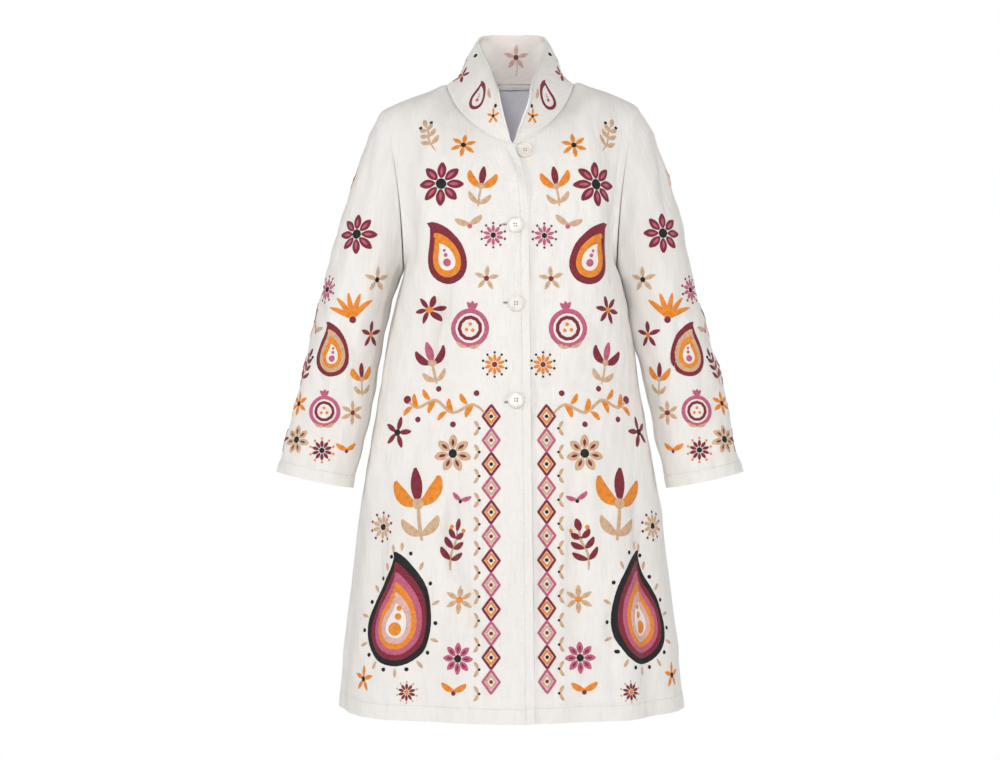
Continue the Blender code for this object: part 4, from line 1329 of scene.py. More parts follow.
# %% [markdown]
# ## Satin stitch
# Hand embroidery is thread laid side by side over a drawn shape. So every petal, leaf, dot and
# outline here is one strip: a path with a width at each point, raised in the middle and sunk into
# the cloth at its edges. A motif is a list of strips on a flat plan of size 1. To sew it on, we
# stand at one point of a piece, lay the plan on the cloth there, and drop each point along the
# cloth's own direction until it meets the skin. One mesh then holds all the strips of a piece, with
# one material for each thread colour.

# %% Strips


def strip(points, widths, colour, closed=False, lift=0.0):
    points = np.array(points, float)
    return points, np.ones(len(points)) * widths, colour, closed, lift


def taper(steps, width, fullness=0.75):
    return width * np.sin(math.pi * np.linspace(0.05, 0.95, steps)) ** fullness


def petal(base, angle, length, width, colour, bend=0.0, steps=8, lift=0.0):
    """A leaf or petal from its base along an angle in degrees, which may bend on the way."""
    turns = np.radians(angle + bend * np.linspace(-0.5, 0.5, steps - 1))
    moves = np.stack([np.cos(turns), np.sin(turns)], axis=-1) * length / (steps - 1)
    path = np.concatenate([[(0.0, 0.0)], np.cumsum(moves, axis=0)]) + np.array(base)
    return strip(path, taper(steps, width), colour, lift=lift)


def dot(place, radius, colour, lift=0.0):
    reach = np.sin(np.linspace(-1.35, 1.35, 7))
    path = np.stack([place[0] + radius * reach, np.full(7, place[1])], axis=-1)
    return strip(path, 2 * radius * np.sqrt(1 - reach**2), colour, lift=lift)


def smooth(points, per=5, closed=False):
    """A soft curve through the given points."""
    points = np.array(points, float)
    count = len(points)
    made = []
    for index in range(count if closed else count - 1):
        ids = [index - 1, index, index + 1, index + 2]
        ids = [i % count if closed else min(max(i, 0), count - 1) for i in ids]
        a, b, c, d = points[ids]
        t = (np.arange(per) / per)[:, None]
        square, cube = (2 * a - 5 * b + 4 * c - d) * t**2, (3 * b - a - 3 * c + d) * t**3
        made.append(0.5 * (2 * b + (c - a) * t + square + cube))
    if not closed:
        made.append(points[-1:])
    return np.concatenate(made)


def stem(points, width, colour, per=4, lift=0.0):
    path = smooth(points, per)
    return strip(path, taper(len(path), width, 0.35), colour, lift=lift)


def around(radius, angle):
    return (radius * math.cos(math.radians(angle)), radius * math.sin(math.radians(angle)))


print("strip tools ready")

# %% [markdown]
# ## Motifs
# The coat wears the common stock of folk embroidery: rosettes, stars, tulips, sprigs, botehs,
# pomegranates and diamonds. Each is drawn by rule from petals and strips, so that colours and
# proportions can change from place to place.

# %% Flowers, stars and leaves


def rosette(petals, inner, heart, count=8):
    made = []
    for index in range(count):
        angle = 90 + 360 * index / count
        made.append(petal(around(0.13, angle), angle, 0.36, 1.55 / count, petals))
        made.append(petal(around(0.19, angle), angle, 0.19, 0.55 / count, inner, lift=0.0005, steps=5))
    made.append(dot((0, 0), 0.115, heart, lift=0.0003))
    return made


def star(points, heart, count=6):
    angles = [90 + 360 * index / count for index in range(count)]
    made = [petal(around(0.07, angle), angle, 0.42, 0.16, points) for angle in angles]
    return made + [dot((0, 0), 0.10, heart, lift=0.0004)]


def aster(points, tips, heart):
    made = []
    for index in range(10):
        angle = 90 + 36 * index
        made.append(petal(around(0.12, angle), angle, 0.26, 0.12, points, steps=6))
        made.append(dot(around(0.45, angle), 0.045, tips))
    return made + [dot((0, 0), 0.10, heart)]


def tulip(cup, inner, green):
    made = [stem(((0, -0.50), (0.01, -0.30), (0, -0.04)), 0.05, green)]
    for side in (-1, 1):
        made.append(petal((0, -0.42), 90 - side * 48, 0.34, 0.12, green, bend=side * 50))
        made.append(petal((side * 0.02, -0.03), 90 - side * 40, 0.47, 0.17, cup, bend=side * 62))
    made.append(petal((0, 0.0), 90, 0.44, 0.15, inner, lift=0.0003))
    made.append(dot((0, -0.02), 0.075, green, lift=0.0005))
    return made


def sprig(leaves, branch, berries):
    made = [stem(((-0.03, -0.50), (0.03, -0.20), (-0.02, 0.10), (0.01, 0.28)), 0.045, branch)]
    for place, length in ((-0.30, 0.30), (-0.08, 0.27), (0.12, 0.22)):
        for side in (-1, 1):
            made.append(petal((0.01, place), 90 - side * 50, length, 0.11, leaves, bend=side * 34))
    made.append(petal((0.01, 0.26), 90, 0.24, 0.12, leaves))
    made += [dot((side * 0.15, 0.30), 0.042, berries) for side in (-1, 1)]
    return made


def fan(blades, root, count=5):
    places = [index - (count - 1) / 2 for index in range(count)]
    made = [petal((0, -0.34), 90 + at * 27, 0.68, 0.13, blades, bend=at * 9) for at in places]
    return made + [dot((0, -0.36), 0.085, root, lift=0.0004)]


def vine(branch, leaves, buds):
    knots = ((-0.5, -0.06), (-0.30, 0.07), (-0.08, -0.05), (0.14, 0.07), (0.34, -0.04), (0.48, 0.04))
    made = [stem(knots, 0.034, branch, per=4)]
    for index, (x, y) in enumerate(knots[1:-1]):
        side = 1 if index % 2 else -1
        made.append(petal((x, y), side * 68, 0.17, 0.062, leaves, bend=side * 40))
        made.append(petal((x + 0.07, y), -side * 50, 0.14, 0.055, leaves, bend=-side * 40))
        made.append(dot((x - 0.02, y - side * 0.13), 0.032, buds))
    made.append(dot(knots[-1], 0.045, buds))
    return made


print("flowers:", len(rosette("rose", "wine", "black")), "strips in a rosette")

# %% [markdown]
# The boteh is the old leaf shape with a bent tip. It is nested: each colour is a closed outline
# inside the last. The pomegranate is ringed in the same way, with a crown and seeds, and the
# diamonds make up the borders.

# %% Botehs, pomegranates and diamonds


def drop(scale, bend, steps=30):
    """A drop with a bent tip. Smaller ones sit inside larger ones, low down in the round part."""
    turn = np.linspace(0, 2 * math.pi, steps, endpoint=False)
    wide = 0.36 * np.sin(turn) * np.abs(np.sin(turn / 2)) ** 1.1
    high = 0.47 * np.cos(turn)
    swing = bend * 4.2 * np.clip(high + 0.10, 0, 1) ** 1.5
    across = wide * np.cos(swing) + 0.55 * np.clip(high + 0.10, 0, 1) * np.sin(swing)
    up = np.minimum(high, -0.10) - wide * np.sin(swing) + np.clip(high + 0.10, 0, 1) * np.cos(swing * 0.75)
    return np.stack([across * scale, up * scale - 0.15 * (1 - scale)], axis=-1)


def band(outer, inner, colour):
    """A closed strip that fills the room between two nested outlines."""
    path = (outer + inner) / 2
    run = np.roll(path, -1, axis=0) - np.roll(path, 1, axis=0)
    side = np.stack([-run[:, 1], run[:, 0]], axis=-1) / np.linalg.norm(run, axis=1, keepdims=True)
    return strip(path, np.abs(((outer - inner) * side).sum(axis=1)) + 0.005, colour, closed=True)


def boteh(colours, heart, bend=0.34, steps=34):
    made = []
    gap = min(0.30, 0.86 / (len(colours) + 0.9))
    for index, colour in enumerate(colours):
        outer, inner = (drop(1.07 - gap * number, bend, steps) for number in (index, index + 1))
        made.append(band(outer, inner, colour))
    made.append(dot((0, -0.18), 0.055, heart, lift=0.0002))
    made += [dot((0, -0.18 + 0.11), 0.028, heart), dot((0.01, -0.18 + 0.18), 0.022, heart)]
    return made


def fringed(colours, heart, bend=0.34, rays="tan", tips="black"):
    """A large boteh with a fringe of short rays and dots."""
    made = boteh(colours, heart, bend, 48)
    edge = drop(1.14, bend, 26)
    beyond = drop(1.23, bend, 26)
    for index, (near, far) in enumerate(zip(edge[2:-1], beyond[2:-1])):
        if index % 2:
            made.append(dot(far * 0.99, 0.017, tips))
        else:
            angle = math.degrees(math.atan2(far[1] - near[1], far[0] - near[0]))
            made.append(petal(near, angle, 0.075, 0.028, rays, steps=5))
    return made


def pomegranate(skin_colour, inside, seeds, green):
    turn = np.linspace(0, 2 * math.pi, 22, endpoint=False)
    ring = np.stack([np.sin(turn), np.cos(turn)], axis=-1)
    made = [strip(ring * 0.33 + (0, -0.10), 0.085, skin_colour, closed=True)]
    made.append(strip(ring[::2] * 0.21 + (0, -0.10), 0.065, inside, closed=True))
    for x, y in (around(0.075, angle) for angle in (90, 210, 330)):
        made.append(dot((x, y - 0.10), 0.035, seeds))
    for angle, bend in ((90, 0), (58, -30), (122, 30)):
        made.append(petal((0, 0.22), angle, 0.20, 0.085, skin_colour, bend=bend, lift=0.0002))
    made += [petal((0, -0.45), a, 0.26, 0.09, green, bend=b) for a, b in ((20, 50), (160, -50))]
    return made


def diamond(edge, inside, heart):
    made = []
    for reach, width, colour in ((0.46, 0.10, edge), (0.27, 0.085, inside)):
        corners = np.array(((0, reach), (reach * 0.74, 0), (0, -reach), (-reach * 0.74, 0)))
        sides = zip(corners, np.roll(corners, -1, axis=0))
        path = np.concatenate([a + (b - a) * np.linspace(0, 1, 4)[:3, None] for a, b in sides])
        made.append(strip(path, width, colour, closed=True))
    return made + [dot((0, 0), 0.075, heart)]


def leaf_pair(leaves, bud):
    made = [petal((0, -0.05), 90 - side * 62, 0.44, 0.17, leaves, bend=side * 40) for side in (-1, 1)]
    return made + [dot((0, -0.12), 0.07, bud)]


print("large boteh:", len(fringed(("black", "oxblood"), "orange")), "strips")

# %% [markdown]
# ## Where the motifs go
# A maker plans one half of the front and mirrors it. Each line below names a motif and its thread
# colours, a colour for each part, with nested rings joined by a plus. Then it says how far the motif
# sits from the middle line, its height and its size in millimetres, and its turn in degrees. The
# sleeves have their own plan, all the way round, and the back is planned afresh round a rosette.

# %% The plans
FRONT_MIDDLE = 0.0125
BOLDER = 1.18
# What the numbers of a row are divided by to give metres, degrees and shares
MM = (1000, 1000, 1000, 1)
ROUND_ARM = (1, 1000, 1000, 1)


def leaf(colour):
    return petal((-0.4, 0.0), 0, 0.9, 0.26, colour, bend=30)


def bead(colour):
    return dot((0, 0), 0.5, colour)


drawn = (rosette, star, aster, tulip, sprig, fan, vine, boteh, fringed, pomegranate, diamond)
MOTIFS = {motif.__name__: motif for motif in (*drawn, leaf_pair, leaf, bead)}


def plan(units, rows):
    """Rows of a motif with its colours and counts, then two numbers of place, its size and its turn."""
    made = []
    for row in rows.strip().splitlines():
        what, where = row.split("|")
        kind, *words = what.split()
        for index, word in enumerate(words):
            if word.isdigit():
                words[index] = int(word)
            elif "+" in word:
                words[index] = tuple(filter(None, word.split("+")))
        places = (float(number) / unit for number, unit in zip(where.split(), units))
        made.append((MOTIFS[kind](*words), *places))
    return made


# motif, from the middle line, height, size, turn
FRONT_PLAN = plan(MM, """
sprig tan tan black | 136 -80 52 -24
star orange black | 83 -98 34 10
tulip orange oxblood tan | 56 -160 56 8
rosette oxblood rose black | 116 -158 58 0
leaf_pair tan rose | 74 -216 44 -10
aster rose oxblood black | 38 -236 34 0
boteh oxblood+orange rose | 110 -258 86 -8
star tan oxblood 5 | 48 -300 32 6
pomegranate rose oxblood orange tan | 72 -366 66 6
star oxblood orange | 134 -346 38 20
aster orange black oxblood | 36 -428 34 0
tulip oxblood rose tan | 130 -424 58 -14
vine tan orange oxblood | 108 -492 112 6
rosette tan oxblood black 7 | 98 -560 48 0
star oxblood black 5 | 182 -530 42 12
tulip orange oxblood tan | 150 -632 98 -8
leaf_pair rose black | 85.5 -626 34 12
aster tan oxblood black | 203 -672 40 0
sprig oxblood tan orange | 95 -694 66 14
fringed black+oxblood+rose+orange+blush orange | 176 -790 148 14
star tan orange | 88 -775 36 0
rosette rose oxblood black | 90 -860 40 0
leaf_pair orange oxblood | 96 -904 44 0
aster oxblood tan orange | 166 -912 29 0
star orange black 5 | 232 -898 34 0
""")
BORDER_FROM_MIDDLE = 0.041
BORDER_TOP = -0.505
BORDER_STEP = 0.0352
for row in range(12):
    kind = (("oxblood", "orange", "black"), ("rose", "tan", "oxblood"))[row % 2]
    height = BORDER_TOP - row * BORDER_STEP
    FRONT_PLAN.append((diamond(*kind), BORDER_FROM_MIDDLE, height, 0.031, 0))
    beside = BORDER_FROM_MIDDLE + 0.021
    FRONT_PLAN.append((leaf_pair("tan", "black"), beside, height - BORDER_STEP / 2, 0.024, -90))
print("motifs on a front, with its border:", len(FRONT_PLAN))

# %% [markdown]
# The back has pairs of motifs on both sides of its middle, and nine more on the middle line.

# %% The back's plans
BACK_PLAN = plan(MM, """
sprig tan tan oxblood | 140 -92 50 -20
tulip orange oxblood tan | 80 -90 54 -10
rosette oxblood rose black | 118 -172 54 0
boteh oxblood+orange rose | 76 -250 80 -20
star tan black 5 | 130 -256 34 0
leaf_pair rose orange | 34 -322 44 0
pomegranate rose oxblood orange tan | 110 -340 62 0
aster orange oxblood black | 52 -388 38 0
tulip oxblood rose tan | 120 -430 60 -12
vine tan orange oxblood | 78 -478 110 6
star oxblood black | 170 -510 42 8
rosette tan oxblood black 7 | 80 -560 52 0
tulip orange oxblood tan | 148 -612 92 -8
aster rose oxblood black | 88 -646 42 0
star tan orange | 200 -680 38 0
fringed black+oxblood+rose+orange+blush orange | 140 -780 148 12
leaf_pair orange oxblood | 62 -740 46 0
rosette rose oxblood black | 60 -820 52 0
sprig oxblood tan orange | 214 -845 60 -8
star orange black 5 | 100 -900 36 0
aster oxblood tan orange | 178 -902 36 0
""")
BACK_MIDDLE_PLAN = plan(MM, """
rosette oxblood rose black 12 | 0 -165 96 0
tulip orange oxblood tan | 0 -75 58 0
fan tan oxblood | 0 -250 60 180
diamond oxblood orange black | 0 -400 50 0
diamond rose tan oxblood | 0 -452 40 0
pomegranate oxblood orange rose tan | 0 -600 90 0
aster tan black oxblood | 0 -690 46 0
sprig oxblood tan orange | 0 -780 80 0
rosette orange oxblood black 7 | 0 -888 54 0
""")
print("motifs on the back:", 2 * len(BACK_PLAN) + len(BACK_MIDDLE_PLAN))

# %% [markdown]
# A sleeve's motifs go all the way round the arm. The collar's are placed by shares of its length
# and its height, one half mirrored on the other.

# %% Sleeve and collar plans
# motif, degrees round from the shoulder line down the front, thousandths of the way to the cuff,
# size, turn
SLEEVE_PLAN = plan(ROUND_ARM, """
rosette oxblood rose black | 66 200 52 0
star tan black 5 | 116 250 34 0
fan orange oxblood | 88 365 50 -10
aster rose oxblood black | 34 330 38 0
boteh oxblood+tan+orange rose | 75 530 74 8
star oxblood orange 5 | 130 455 36 0
leaf_pair tan rose | 32 470 40 20
tulip orange oxblood tan | 133 610 46 -6
sprig oxblood tan black | 30 610 50 16
pomegranate rose oxblood orange tan | 82 735 54 0
star tan oxblood | 128 735 32 0
star orange black | 36 745 32 0
rosette tan oxblood black 7 | 50 872 38 0
aster oxblood orange black | 92 885 34 0
leaf_pair orange oxblood | 130 862 36 0
star orange black 5 | 4 140 36 0
tulip oxblood rose tan | 356 440 54 0
rosette rose oxblood black | 354 640 46 0
star tan orange | 358 770 34 0
star oxblood black 5 | 4 885 34 0
rosette oxblood rose black | 294 230 50 0
fan orange oxblood | 262 365 48 12
star tan black | 320 330 34 0
boteh oxblood+tan+orange rose | 278 530 74 -8
star oxblood orange 5 | 224 470 36 0
sprig oxblood tan black | 318 560 50 -12
pomegranate rose oxblood orange tan | 272 735 52 0
tulip orange oxblood tan | 226 640 48 0
leaf_pair rose black | 316 725 38 0
rosette tan oxblood black 7 | 312 868 38 0
aster rose oxblood black | 268 880 36 0
leaf_pair tan rose | 224 860 38 0
""")
# motif, thousandths of the half collar, thousandths of the way up, size, turn
COLLAR_PLAN = plan(MM, """
boteh oxblood+ rose | 700 560 43 14
leaf tan | 815 730 18 60
bead black | 430 880 6 0
bead black | 905 660 5 0
star orange black 5 | 865 450 21 0
star oxblood orange 5 | 440 460 28 0
sprig tan tan oxblood | 310 500 32 0
tulip orange oxblood tan | 150 500 36 0
""")
print("motifs on a sleeve:", len(SLEEVE_PLAN), "and on half the collar:", len(COLLAR_PLAN))

# %% [markdown]
# ## Sewing it on
# Here a plan becomes mesh. A strip's cross section is a few points: two edges sunk under the cloth,
# two shoulders and a crown, and more of them where it is broad. The map called stitch runs along the
# strip and across it in metres, and that is what turns the thread ridges with each petal.

# %% Sew
SUNK = 0.0006
PILE = 0.00075
RAY_START = 0.028
NARROW = (np.array((-0.5, -0.40, 0.0, 0.40, 0.5)), np.array((0.0, 0.72, 1.0, 0.72, 0.0)))
BROAD = (
    np.array((-0.5, -0.44, -0.28, -0.1, 0.1, 0.28, 0.44, 0.5)),
    np.array((0.0, 0.7, 0.95, 1.0, 1.0, 0.95, 0.7, 0.0)),
)
BROAD_FROM = 0.0040
STITCH_SPREAD = 1.12
THREAD_SHARP = math.radians(60)
STEP_ALONG = 0.0030


def tree_of(item):
    faces = [tuple(face.vertices) for face in item.data.polygons]
    return BVHTree.FromPolygons([corner.co for corner in item.data.vertices], faces)


def sewn(name, places, faces, colours, maps=None, kinds=None):
    """One mesh of thread from its corner points and faces, turned outward, on the coat's body."""
    mesh = bpy.data.meshes.new(name)
    mesh.from_pydata(places, [], faces)
    chart = mesh.uv_layers.new(name="stitch")
    for colour in colours:
        mesh.materials.append(threads[colour])
    if maps:
        chart.data.foreach_set("uv", np.array(maps))
        mesh.polygons.foreach_set("material_index", np.array(kinds, dtype=np.int32))
    shape = bmesh.new()
    shape.from_mesh(mesh)
    bmesh.ops.recalc_face_normals(shape, faces=shape.faces)
    shape.to_mesh(mesh)
    shape.free()
    mesh.shade_smooth()
    if maps:
        mesh.set_sharp_from_angle(angle=THREAD_SHARP)
    made = linked(name, mesh)
    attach(made, "root")
    return made


def evened(path, widths, closed):
    """The same strip with more points along it, so that it follows every dip of the cloth."""
    if closed:
        path, widths = np.vstack([path, path[:1]]), np.append(widths, widths[0])
    lengths = np.concatenate([[0.0], np.cumsum(np.linalg.norm(np.diff(path, axis=0), axis=1))])
    marks = [lengths[-1]] if not closed else []
    for start, end in zip(lengths[:-1], lengths[1:]):
        marks += list(np.linspace(start, end, max(1, math.ceil((end - start) / STEP_ALONG)), endpoint=False))
    marks = np.sort(marks)
    path = np.stack([np.interp(marks, lengths, path[:, axis]) for axis in (0, 1)], axis=-1)
    return path, np.interp(marks, lengths, widths)


print("thread meshes ready, colours:", len(threads))

# %% [markdown]
# One Needlework holds all the strips of one piece of cloth. It turns and sizes a motif's plan, lays
# it on the cloth and drops every point of every strip along a ray. A strip that misses the cloth
# anywhere is left out whole and counted.


# %% Needlework
class Needlework:
    """Gathers strips sewn on one cloth piece into one mesh."""

    def __init__(self, name, ground):
        self.name = name
        self.tree = tree_of(ground)
        self.places, self.faces, self.maps, self.kinds = [], [], [], []
        self.missed = 0

    def drop(self, spot, away):
        hit, normal, _, _ = self.tree.ray_cast(Vector(spot + away * RAY_START), Vector(-away), 2 * RAY_START)
        if hit is None:
            return None
        return np.array(hit), np.array(normal) * (1 if normal.dot(Vector(away)) > 0 else -1)

    def sew(self, motif, spot, right, up, away, size, turn, mirrored=False):
        cos, sin = math.cos(math.radians(turn)), math.sin(math.radians(turn))
        motif = motif if isinstance(motif, list) else [motif]
        for points, widths, colour, closed, lift in motif:
            path = points @ np.array(((cos, sin), (-sin, cos))) * size * BOLDER
            if mirrored:
                path = path * np.array((-1, 1))
            broad = widths * size * BOLDER * STITCH_SPREAD
            self.add(path, broad, colour, closed, lift, spot, right, up, away)

    def add(self, path, widths, colour, closed, lift, spot, right, up, away):
        path, widths = evened(path, widths, closed)
        count = len(path)
        if closed:
            run = np.roll(path, -1, axis=0) - np.roll(path, 1, axis=0)
        else:
            run = np.gradient(path, axis=0)
        run = run / np.maximum(np.linalg.norm(run, axis=1, keepdims=True), 1e-9)
        side = np.stack([-run[:, 1], run[:, 0]], axis=-1)
        ring, rise_at = BROAD if widths.max() > BROAD_FROM else NARROW
        size = len(ring)
        flat = path[:, None] + side[:, None] * (widths[:, None] * ring)[..., None]
        lengths = np.concatenate([[0.0], np.cumsum(np.linalg.norm(np.diff(path, axis=0), axis=1))])
        places = []
        pile = np.minimum(PILE, 0.0003 + widths * 0.12) + lift
        for step in range(count):
            for index in range(size):
                a, b = flat[step, index]
                found = self.drop(spot + right * a + up * b, away)
                if found is None:
                    self.missed += 1
                    return
                hit, normal = found
                height = pile[step] * rise_at[index] if rise_at[index] else -SUNK
                places.append(hit + normal * height)
        first = sum(len(part) for part in self.places)
        self.places.append(np.array(places))
        last = count if closed else count - 1
        kind = thread_order.index(colour)
        for step in range(last):
            after = (step + 1) % count
            at, to = lengths[step], lengths[step + 1] if step + 1 < count else lengths[-1] + 0.002
            here, there = first + step * size, first + after * size
            for index in range(size):
                beside = (index + 1) % size
                self.faces.append((here + index, here + beside, there + beside, there + index))
                low, high = ring[index] * widths[step], ring[beside] * widths[step]
                self.maps += [at, low, at, high, to, high, to, low]
                self.kinds.append(kind)
        if not closed:
            for start in (0, (count - 1) * size):
                self.faces.append(tuple(range(first + start, first + start + size)))
                self.maps += [0.0, 0.0] * size
                self.kinds.append(kind)

    def finish(self):
        places = np.concatenate(self.places).tolist()
        made = sewn(self.name, places, self.faces, thread_order, self.maps, self.kinds)
        print(self.name, len(self.places), "strips,", len(self.faces), "faces, left out", self.missed)
        return made


print("needlework ready")

# %% [markdown]
# A motif needs a spot on the cloth and three directions: right, up and away. They come from the
# skin's own grid, evened out over the motif's size, so a crease doesn't twist it.


# %% Places on the cloth
def frame_at(points, out, row, column, size=0.02):
    """A spot on a skin with its right, up and away, evened out over the size of a motif."""
    near = np.linalg.norm(points - points[row, column], axis=-1) < size * 0.6
    away = unit(out[near].mean(axis=0))
    right = unit(np.cross(np.array((0.0, 0.0, 1.0)), away))
    return points[row, column], right, unit(np.cross(away, right)), away


def spot_seen(points, x, z):
    """The grid place of a body skin that is nearest to an x and a height."""
    gap = (points[..., 0] - x) ** 2 + (points[..., 2] - z) ** 2
    return np.unravel_index(int(np.argmin(gap)), gap.shape)


def straight_on(work, points, out, x, z, facing_y, size):
    """The same spot and directions for an x and a height, met exactly from in front or behind."""
    spot, right, up, away = frame_at(points, out, *spot_seen(points, x, z), size)
    hit = work.tree.ray_cast(Vector((x, facing_y, z)), Vector((0, -facing_y, 0)))[0]
    return (spot if hit is None else np.array(hit)), right, up, away


print("places can be found by grid or by sight")

# %% [markdown]
# ## Embroider the fronts and the back
# The wearer's left half is the drawn one and the right half mirrors it. On the back the mirror line
# is the middle of the coat, and nine motifs stand on it.

# %% Body embroidery
embroidery = {}
for name in FRONTS:
    item, points, out = cloth[name]
    work = Needlework(name + "_embroidery", item)
    side = FRONTS[name]["side"]
    for motif, across, height, size, turn in FRONT_PLAN:
        place = straight_on(work, points, out, FRONT_MIDDLE + side * across, height, -1, size)
        work.sew(motif, *place, size, turn, mirrored=side < 0)
    embroidery[name] = work.finish()

item, points, out = cloth["back"]
work = Needlework("back_embroidery", item)
for side in (-1, 1):
    for motif, across, height, size, turn in BACK_PLAN:
        place = straight_on(work, points, out, side * across, height, 1, size)
        work.sew(motif, *place, size, turn, mirrored=side > 0)
for motif, across, height, size, turn in BACK_MIDDLE_PLAN:
    work.sew(motif, *straight_on(work, points, out, across, height, 1, size), size, turn)
embroidery["back"] = work.finish()

# %% [markdown]
# ## Embroider the sleeves and the collar
# On a sleeve a motif's place is an angle and a share of the length. The collar also has one pale
# flower, on its inner side at the back of the neck.

# %% Sleeve and collar embroidery
PALE_FLOWER_UP = 0.62
PALE_FLOWER_ACROSS = 0.515
PALE_FLOWER_SIZE = 0.034

for name in SLEEVE_LEAN:
    item, points, out = cloth[name]
    side = -1 if name == "sleeve_right" else 1
    rows, columns = points.shape[:2]
    share = sleeve_rows()
    work = Needlework(name + "_embroidery", item)
    for motif, angle, down, size, turn in SLEEVE_PLAN:
        row = int(np.argmin(np.abs(share - down)))
        column = int(round(angle / 360 * columns)) % columns
        work.sew(motif, *frame_at(points, out, row, column, size), size, turn, mirrored=side < 0)
    embroidery[name] = work.finish()

item, points, out = cloth["collar"]
work = Needlework("collar_embroidery", item)
rows, columns = points.shape[:2]
for side in (-1, 1):
    for motif, share, up, size, turn in COLLAR_PLAN:
        row, column = int(up * (rows - 1)), int(round((1 + side * share) / 2 * (columns - 1)))
        work.sew(motif, *frame_at(points, out, row, column, size), size, turn, mirrored=side < 0)
inside = int(PALE_FLOWER_UP * (rows - 1)), int(PALE_FLOWER_ACROSS * (columns - 1))
spot, right, up, away = frame_at(points, -out, *inside)
pale_flower = star("blush", "umber", 5) + [stem(((0, -0.1), (0.05, -0.4), (0.0, -0.75)), 0.05, "ecru")]
work.sew(pale_flower, spot, right, up, away, PALE_FLOWER_SIZE, 0)
embroidery["collar"] = work.finish()

# %% [markdown]
# ## Topstitching
# The hem, the cuffs, the front edges and the neck are sewn with a straight stitch, about three
# millimetres long. Each stitch is a tiny closed bead whose ends dive into the cloth. We walk along
# a line a set distance in from an edge and drop a bead every few millimetres.

# %% Straight stitches
STITCH = 0.0032
STITCH_GAP = 0.0011
STITCH_WIDE = 0.0006
SEAM_STITCH_IN = 0.0050
# share of the stitch's length, height over the cloth, share of its width
BEAD_RINGS = ((0.0, -0.00045, 0.3), (0.25, 0.00015, 1.0), (0.75, 0.00015, 1.0), (1.0, -0.00045, 0.3))


def line_in(points, out, depth):
    """The line that runs this far in from the grid's first row, and the cloth's directions there."""
    from_edge = walked(points, 0)
    line = np.empty_like(points[0])
    away = np.empty_like(points[0])
    for column in range(points.shape[1]):
        for axis in range(3):
            line[column, axis] = np.interp(depth, from_edge[:, column], points[:, column, axis])
            away[column, axis] = np.interp(depth, from_edge[:, column], out[:, column, axis])
    return line, unit(away)


def beads(line, away):
    """Corner points of one bead for each stitch along a line."""
    walk = walked(line, 0)
    starts = np.arange(0.002, walk[-1] - STITCH - 0.001, STITCH + STITCH_GAP)
    places = []
    for start in starts:
        for share, sunk, thick in BEAD_RINGS:
            at = start + share * STITCH
            spot = np.array([np.interp(at, walk, line[:, axis]) for axis in range(3)])
            ahead = np.array([np.interp(at + 0.0005, walk, line[:, axis]) for axis in range(3)])
            normal = unit(np.array([np.interp(at, walk, away[:, axis]) for axis in range(3)]))
            run = unit(ahead - spot)
            side = np.cross(normal, run) * STITCH_WIDE / 2 * thick
            up = normal * STITCH_WIDE / 2 * thick
            middle = spot + normal * sunk
            places += [middle - side, middle + up, middle + side, middle - up]
    return places


def topstitch(name, lines):
    places = []
    for line, away in lines:
        places += beads(line, away)
    faces = []
    for first in range(0, len(places), 16):
        for ring in range(3):
            for index in range(4):
                beside = (index + 1) % 4
                low, high = first + ring * 4, first + ring * 4 + 4
                faces.append((low + index, low + beside, high + beside, high + index))
        faces += [(first + 3, first + 2, first + 1, first), (first + 12, first + 13, first + 14, first + 15)]
    # The ecru thread reads darker than the linen: partly its own tone, partly painted shade along the stitch
    # line.
    made = sewn(name, [tuple(place) for place in places], faces, ["ecru"])
    print(name, len(places) // 16, "stitches")
    return made


stitching = {}
for name in FRONTS:
    _, points, out = cloth[name]
    lines = [line_in(points, out, HEM_BAND)]
    lines.append(line_in(points.swapaxes(0, 1), out.swapaxes(0, 1), EDGE_BAND))
    lines.append(line_in(points[::-1], out[::-1], SEAM_STITCH_IN))
    stitching[name] = topstitch(name + "_stitching", lines)
_, points, out = cloth["back"]
lines = [line_in(points, out, HEM_BAND), line_in(points[::-1], out[::-1], SEAM_STITCH_IN)]
stitching["back"] = topstitch("back_stitching", lines)
for name in SLEEVE_LEAN:
    _, points, out = cloth[name]
    line, away = line_in(points[::-1], out[::-1], CUFF_BAND)
    closed = [(np.concatenate([line, line[:1]]), np.concatenate([away, away[:1]]))]
    stitching[name] = topstitch(name + "_stitching", closed)
_, points, out = cloth["collar"]
stitching["collar"] = topstitch("collar_stitching", [line_in(points[::-1], out[::-1], COLLAR_EDGE_BAND)])

# %% [markdown]
# ## Buttonholes and buttons
# A buttonhole is bound with close stitches round a slit, and one end peeks out from under the
# button. The slit is a dark wine strip: painted shadow in the opening. The buttons themselves are
# turned discs with four holes, and their CAD shape is already right, so they keep it and take the
# cloudy cream finish. A small knot of thread sits in each hole, made very dark: partly thread, partly
# painted shade in the hole. We read a button's place and tilt from its CAD mesh: its flattest
# direction is how it faces.

# %% Buttonholes
BUTTON_NODES = ("button_1", "button_2", "button_3", "button_4")
HOLE_SPREAD = 0.0025 / math.sqrt(2)
SLIT_HALF = 0.0105
SLIT_OFF_CENTRE = 0.0085
SLIT_STEPS = 9
BOUND_STEPS = 20
BOUND_HALF_HEIGHT = 0.0019
KNOT_RADIUS = 0.00125
KNOT_SUNK = 0.0002


def button_place(name):
    item = frame["nodes"][name]
    spots = np.array([item.matrix_world @ v.co for v in item.data.vertices])
    _, _, turns = np.linalg.svd(spots - spots.mean(axis=0), full_matrices=False)
    return (spots.min(axis=0) + spots.max(axis=0)) / 2, turns[2] * -np.sign(turns[2][1])


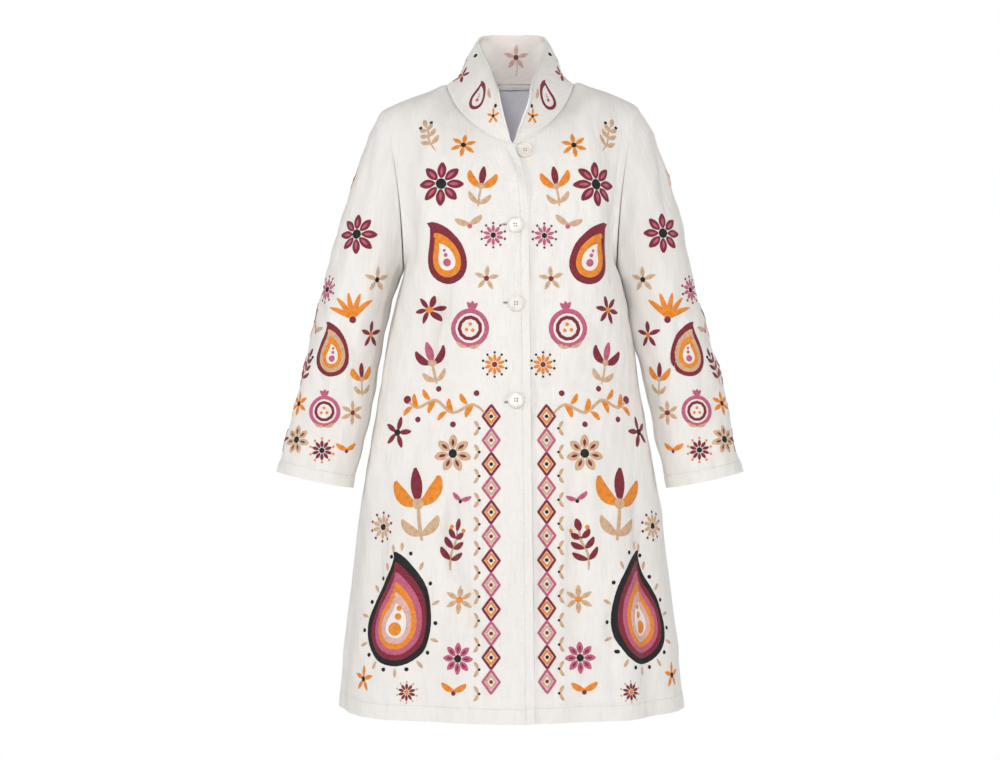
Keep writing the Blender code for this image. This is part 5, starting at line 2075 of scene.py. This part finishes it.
item, points, out = cloth["front_right"]
work = Needlework("buttonholes", item)
for name in BUTTON_NODES[1:]:
    centre, _ = button_place(name)
    row, column = spot_seen(points, centre[0] - SLIT_OFF_CENTRE, centre[2])
    spot, right, up, normal = frame_at(points, out, row, column)
    turn = np.linspace(0, 2 * math.pi, BOUND_STEPS, endpoint=False)
    oval = np.stack([np.cos(turn) * SLIT_HALF, np.sin(turn) * BOUND_HALF_HEIGHT], axis=-1)
    oval[:, 0] = np.sign(oval[:, 0]) * np.abs(oval[:, 0] / SLIT_HALF) ** 0.7 * SLIT_HALF
    work.add(oval, np.full(BOUND_STEPS, 0.0016), "ecru", True, 0.0, spot, right, up, normal)
    # The slit: a dark wine strip, painted shadow in the opening between the bound edges.
    slit = np.linspace(-SLIT_HALF, SLIT_HALF, SLIT_STEPS) * 0.92
    slit = np.stack([slit, np.zeros(SLIT_STEPS)], axis=-1)
    work.add(slit, taper(SLIT_STEPS, 0.0017, 0.3), "wine", False, -0.0001, spot, right, up, normal)
buttonholes = work.finish()

# Dark umber knots in the button holes: partly thread, partly painted shade in the holes.
shape = bmesh.new()
for name in BUTTON_NODES:
    centre, away = button_place(name)
    right = unit(np.cross(np.array((0.0, 0.0, 1.0)), away))
    seat = Matrix((right, np.cross(away, right), away)).transposed().to_4x4()
    seat.translation = centre
    for across in (-HOLE_SPREAD, HOLE_SPREAD):
        for up in (-HOLE_SPREAD, HOLE_SPREAD):
            place = seat @ Matrix.Translation((across, up, -KNOT_SUNK)) @ Matrix.Diagonal((1, 1, 0.8, 1))
            bmesh.ops.create_icosphere(shape, subdivisions=2, radius=KNOT_RADIUS, matrix=place)
mesh = bpy.data.meshes.new("thread_knots_and_painted_shade")
shape.to_mesh(mesh)
shape.free()
mesh.uv_layers.new(name="stitch")
mesh.materials.append(threads["umber"])
mesh.shade_smooth()
thread_knots_and_painted_shade = linked("thread_knots_and_painted_shade", mesh)
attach(thread_knots_and_painted_shade, "root")
for name in BUTTON_NODES:
    item = frame["nodes"][name]
    item.data.materials.clear()
    item.data.materials.append(button_cream)
print("buttons finished:", len(BUTTON_NODES))

# %% [markdown]
# Every sheet says how large it was cut. For a piece of the body that is the widest line across it
# and the longest line down it, with the area of what the cut leaves. A sleeve is measured all the
# way round.

# %% Sheets


def cut_size(points, tube=False):
    ring = np.concatenate([points, points[:, :1]], axis=1) if tube else points
    width = float(walked(ring, 1)[:, -1].max())
    length = float(walked(ring, 0)[-1].max())
    cross = np.cross(ring[1:, 1:] - ring[:-1, :-1], ring[1:, :-1] - ring[:-1, 1:])
    area = float(np.linalg.norm(cross, axis=-1).sum() / 2)
    flat = (round(width, 4), round(length, 4))
    return flat, min(round(area, 6), round(flat[0] * flat[1] * 0.9999, 6))


for name, (item, points, out) in cloth.items():
    flat, area = cut_size(points, tube=name in SLEEVE_LEAN)
    extra = [embroidery[name], stitching[name]] + ([buttonholes] if name == "front_right" else [])
    print(name, "cut", flat, "m, area", area)
flat, area = cut_size(face)
print("neck_lining cut", flat, "m, area", area)
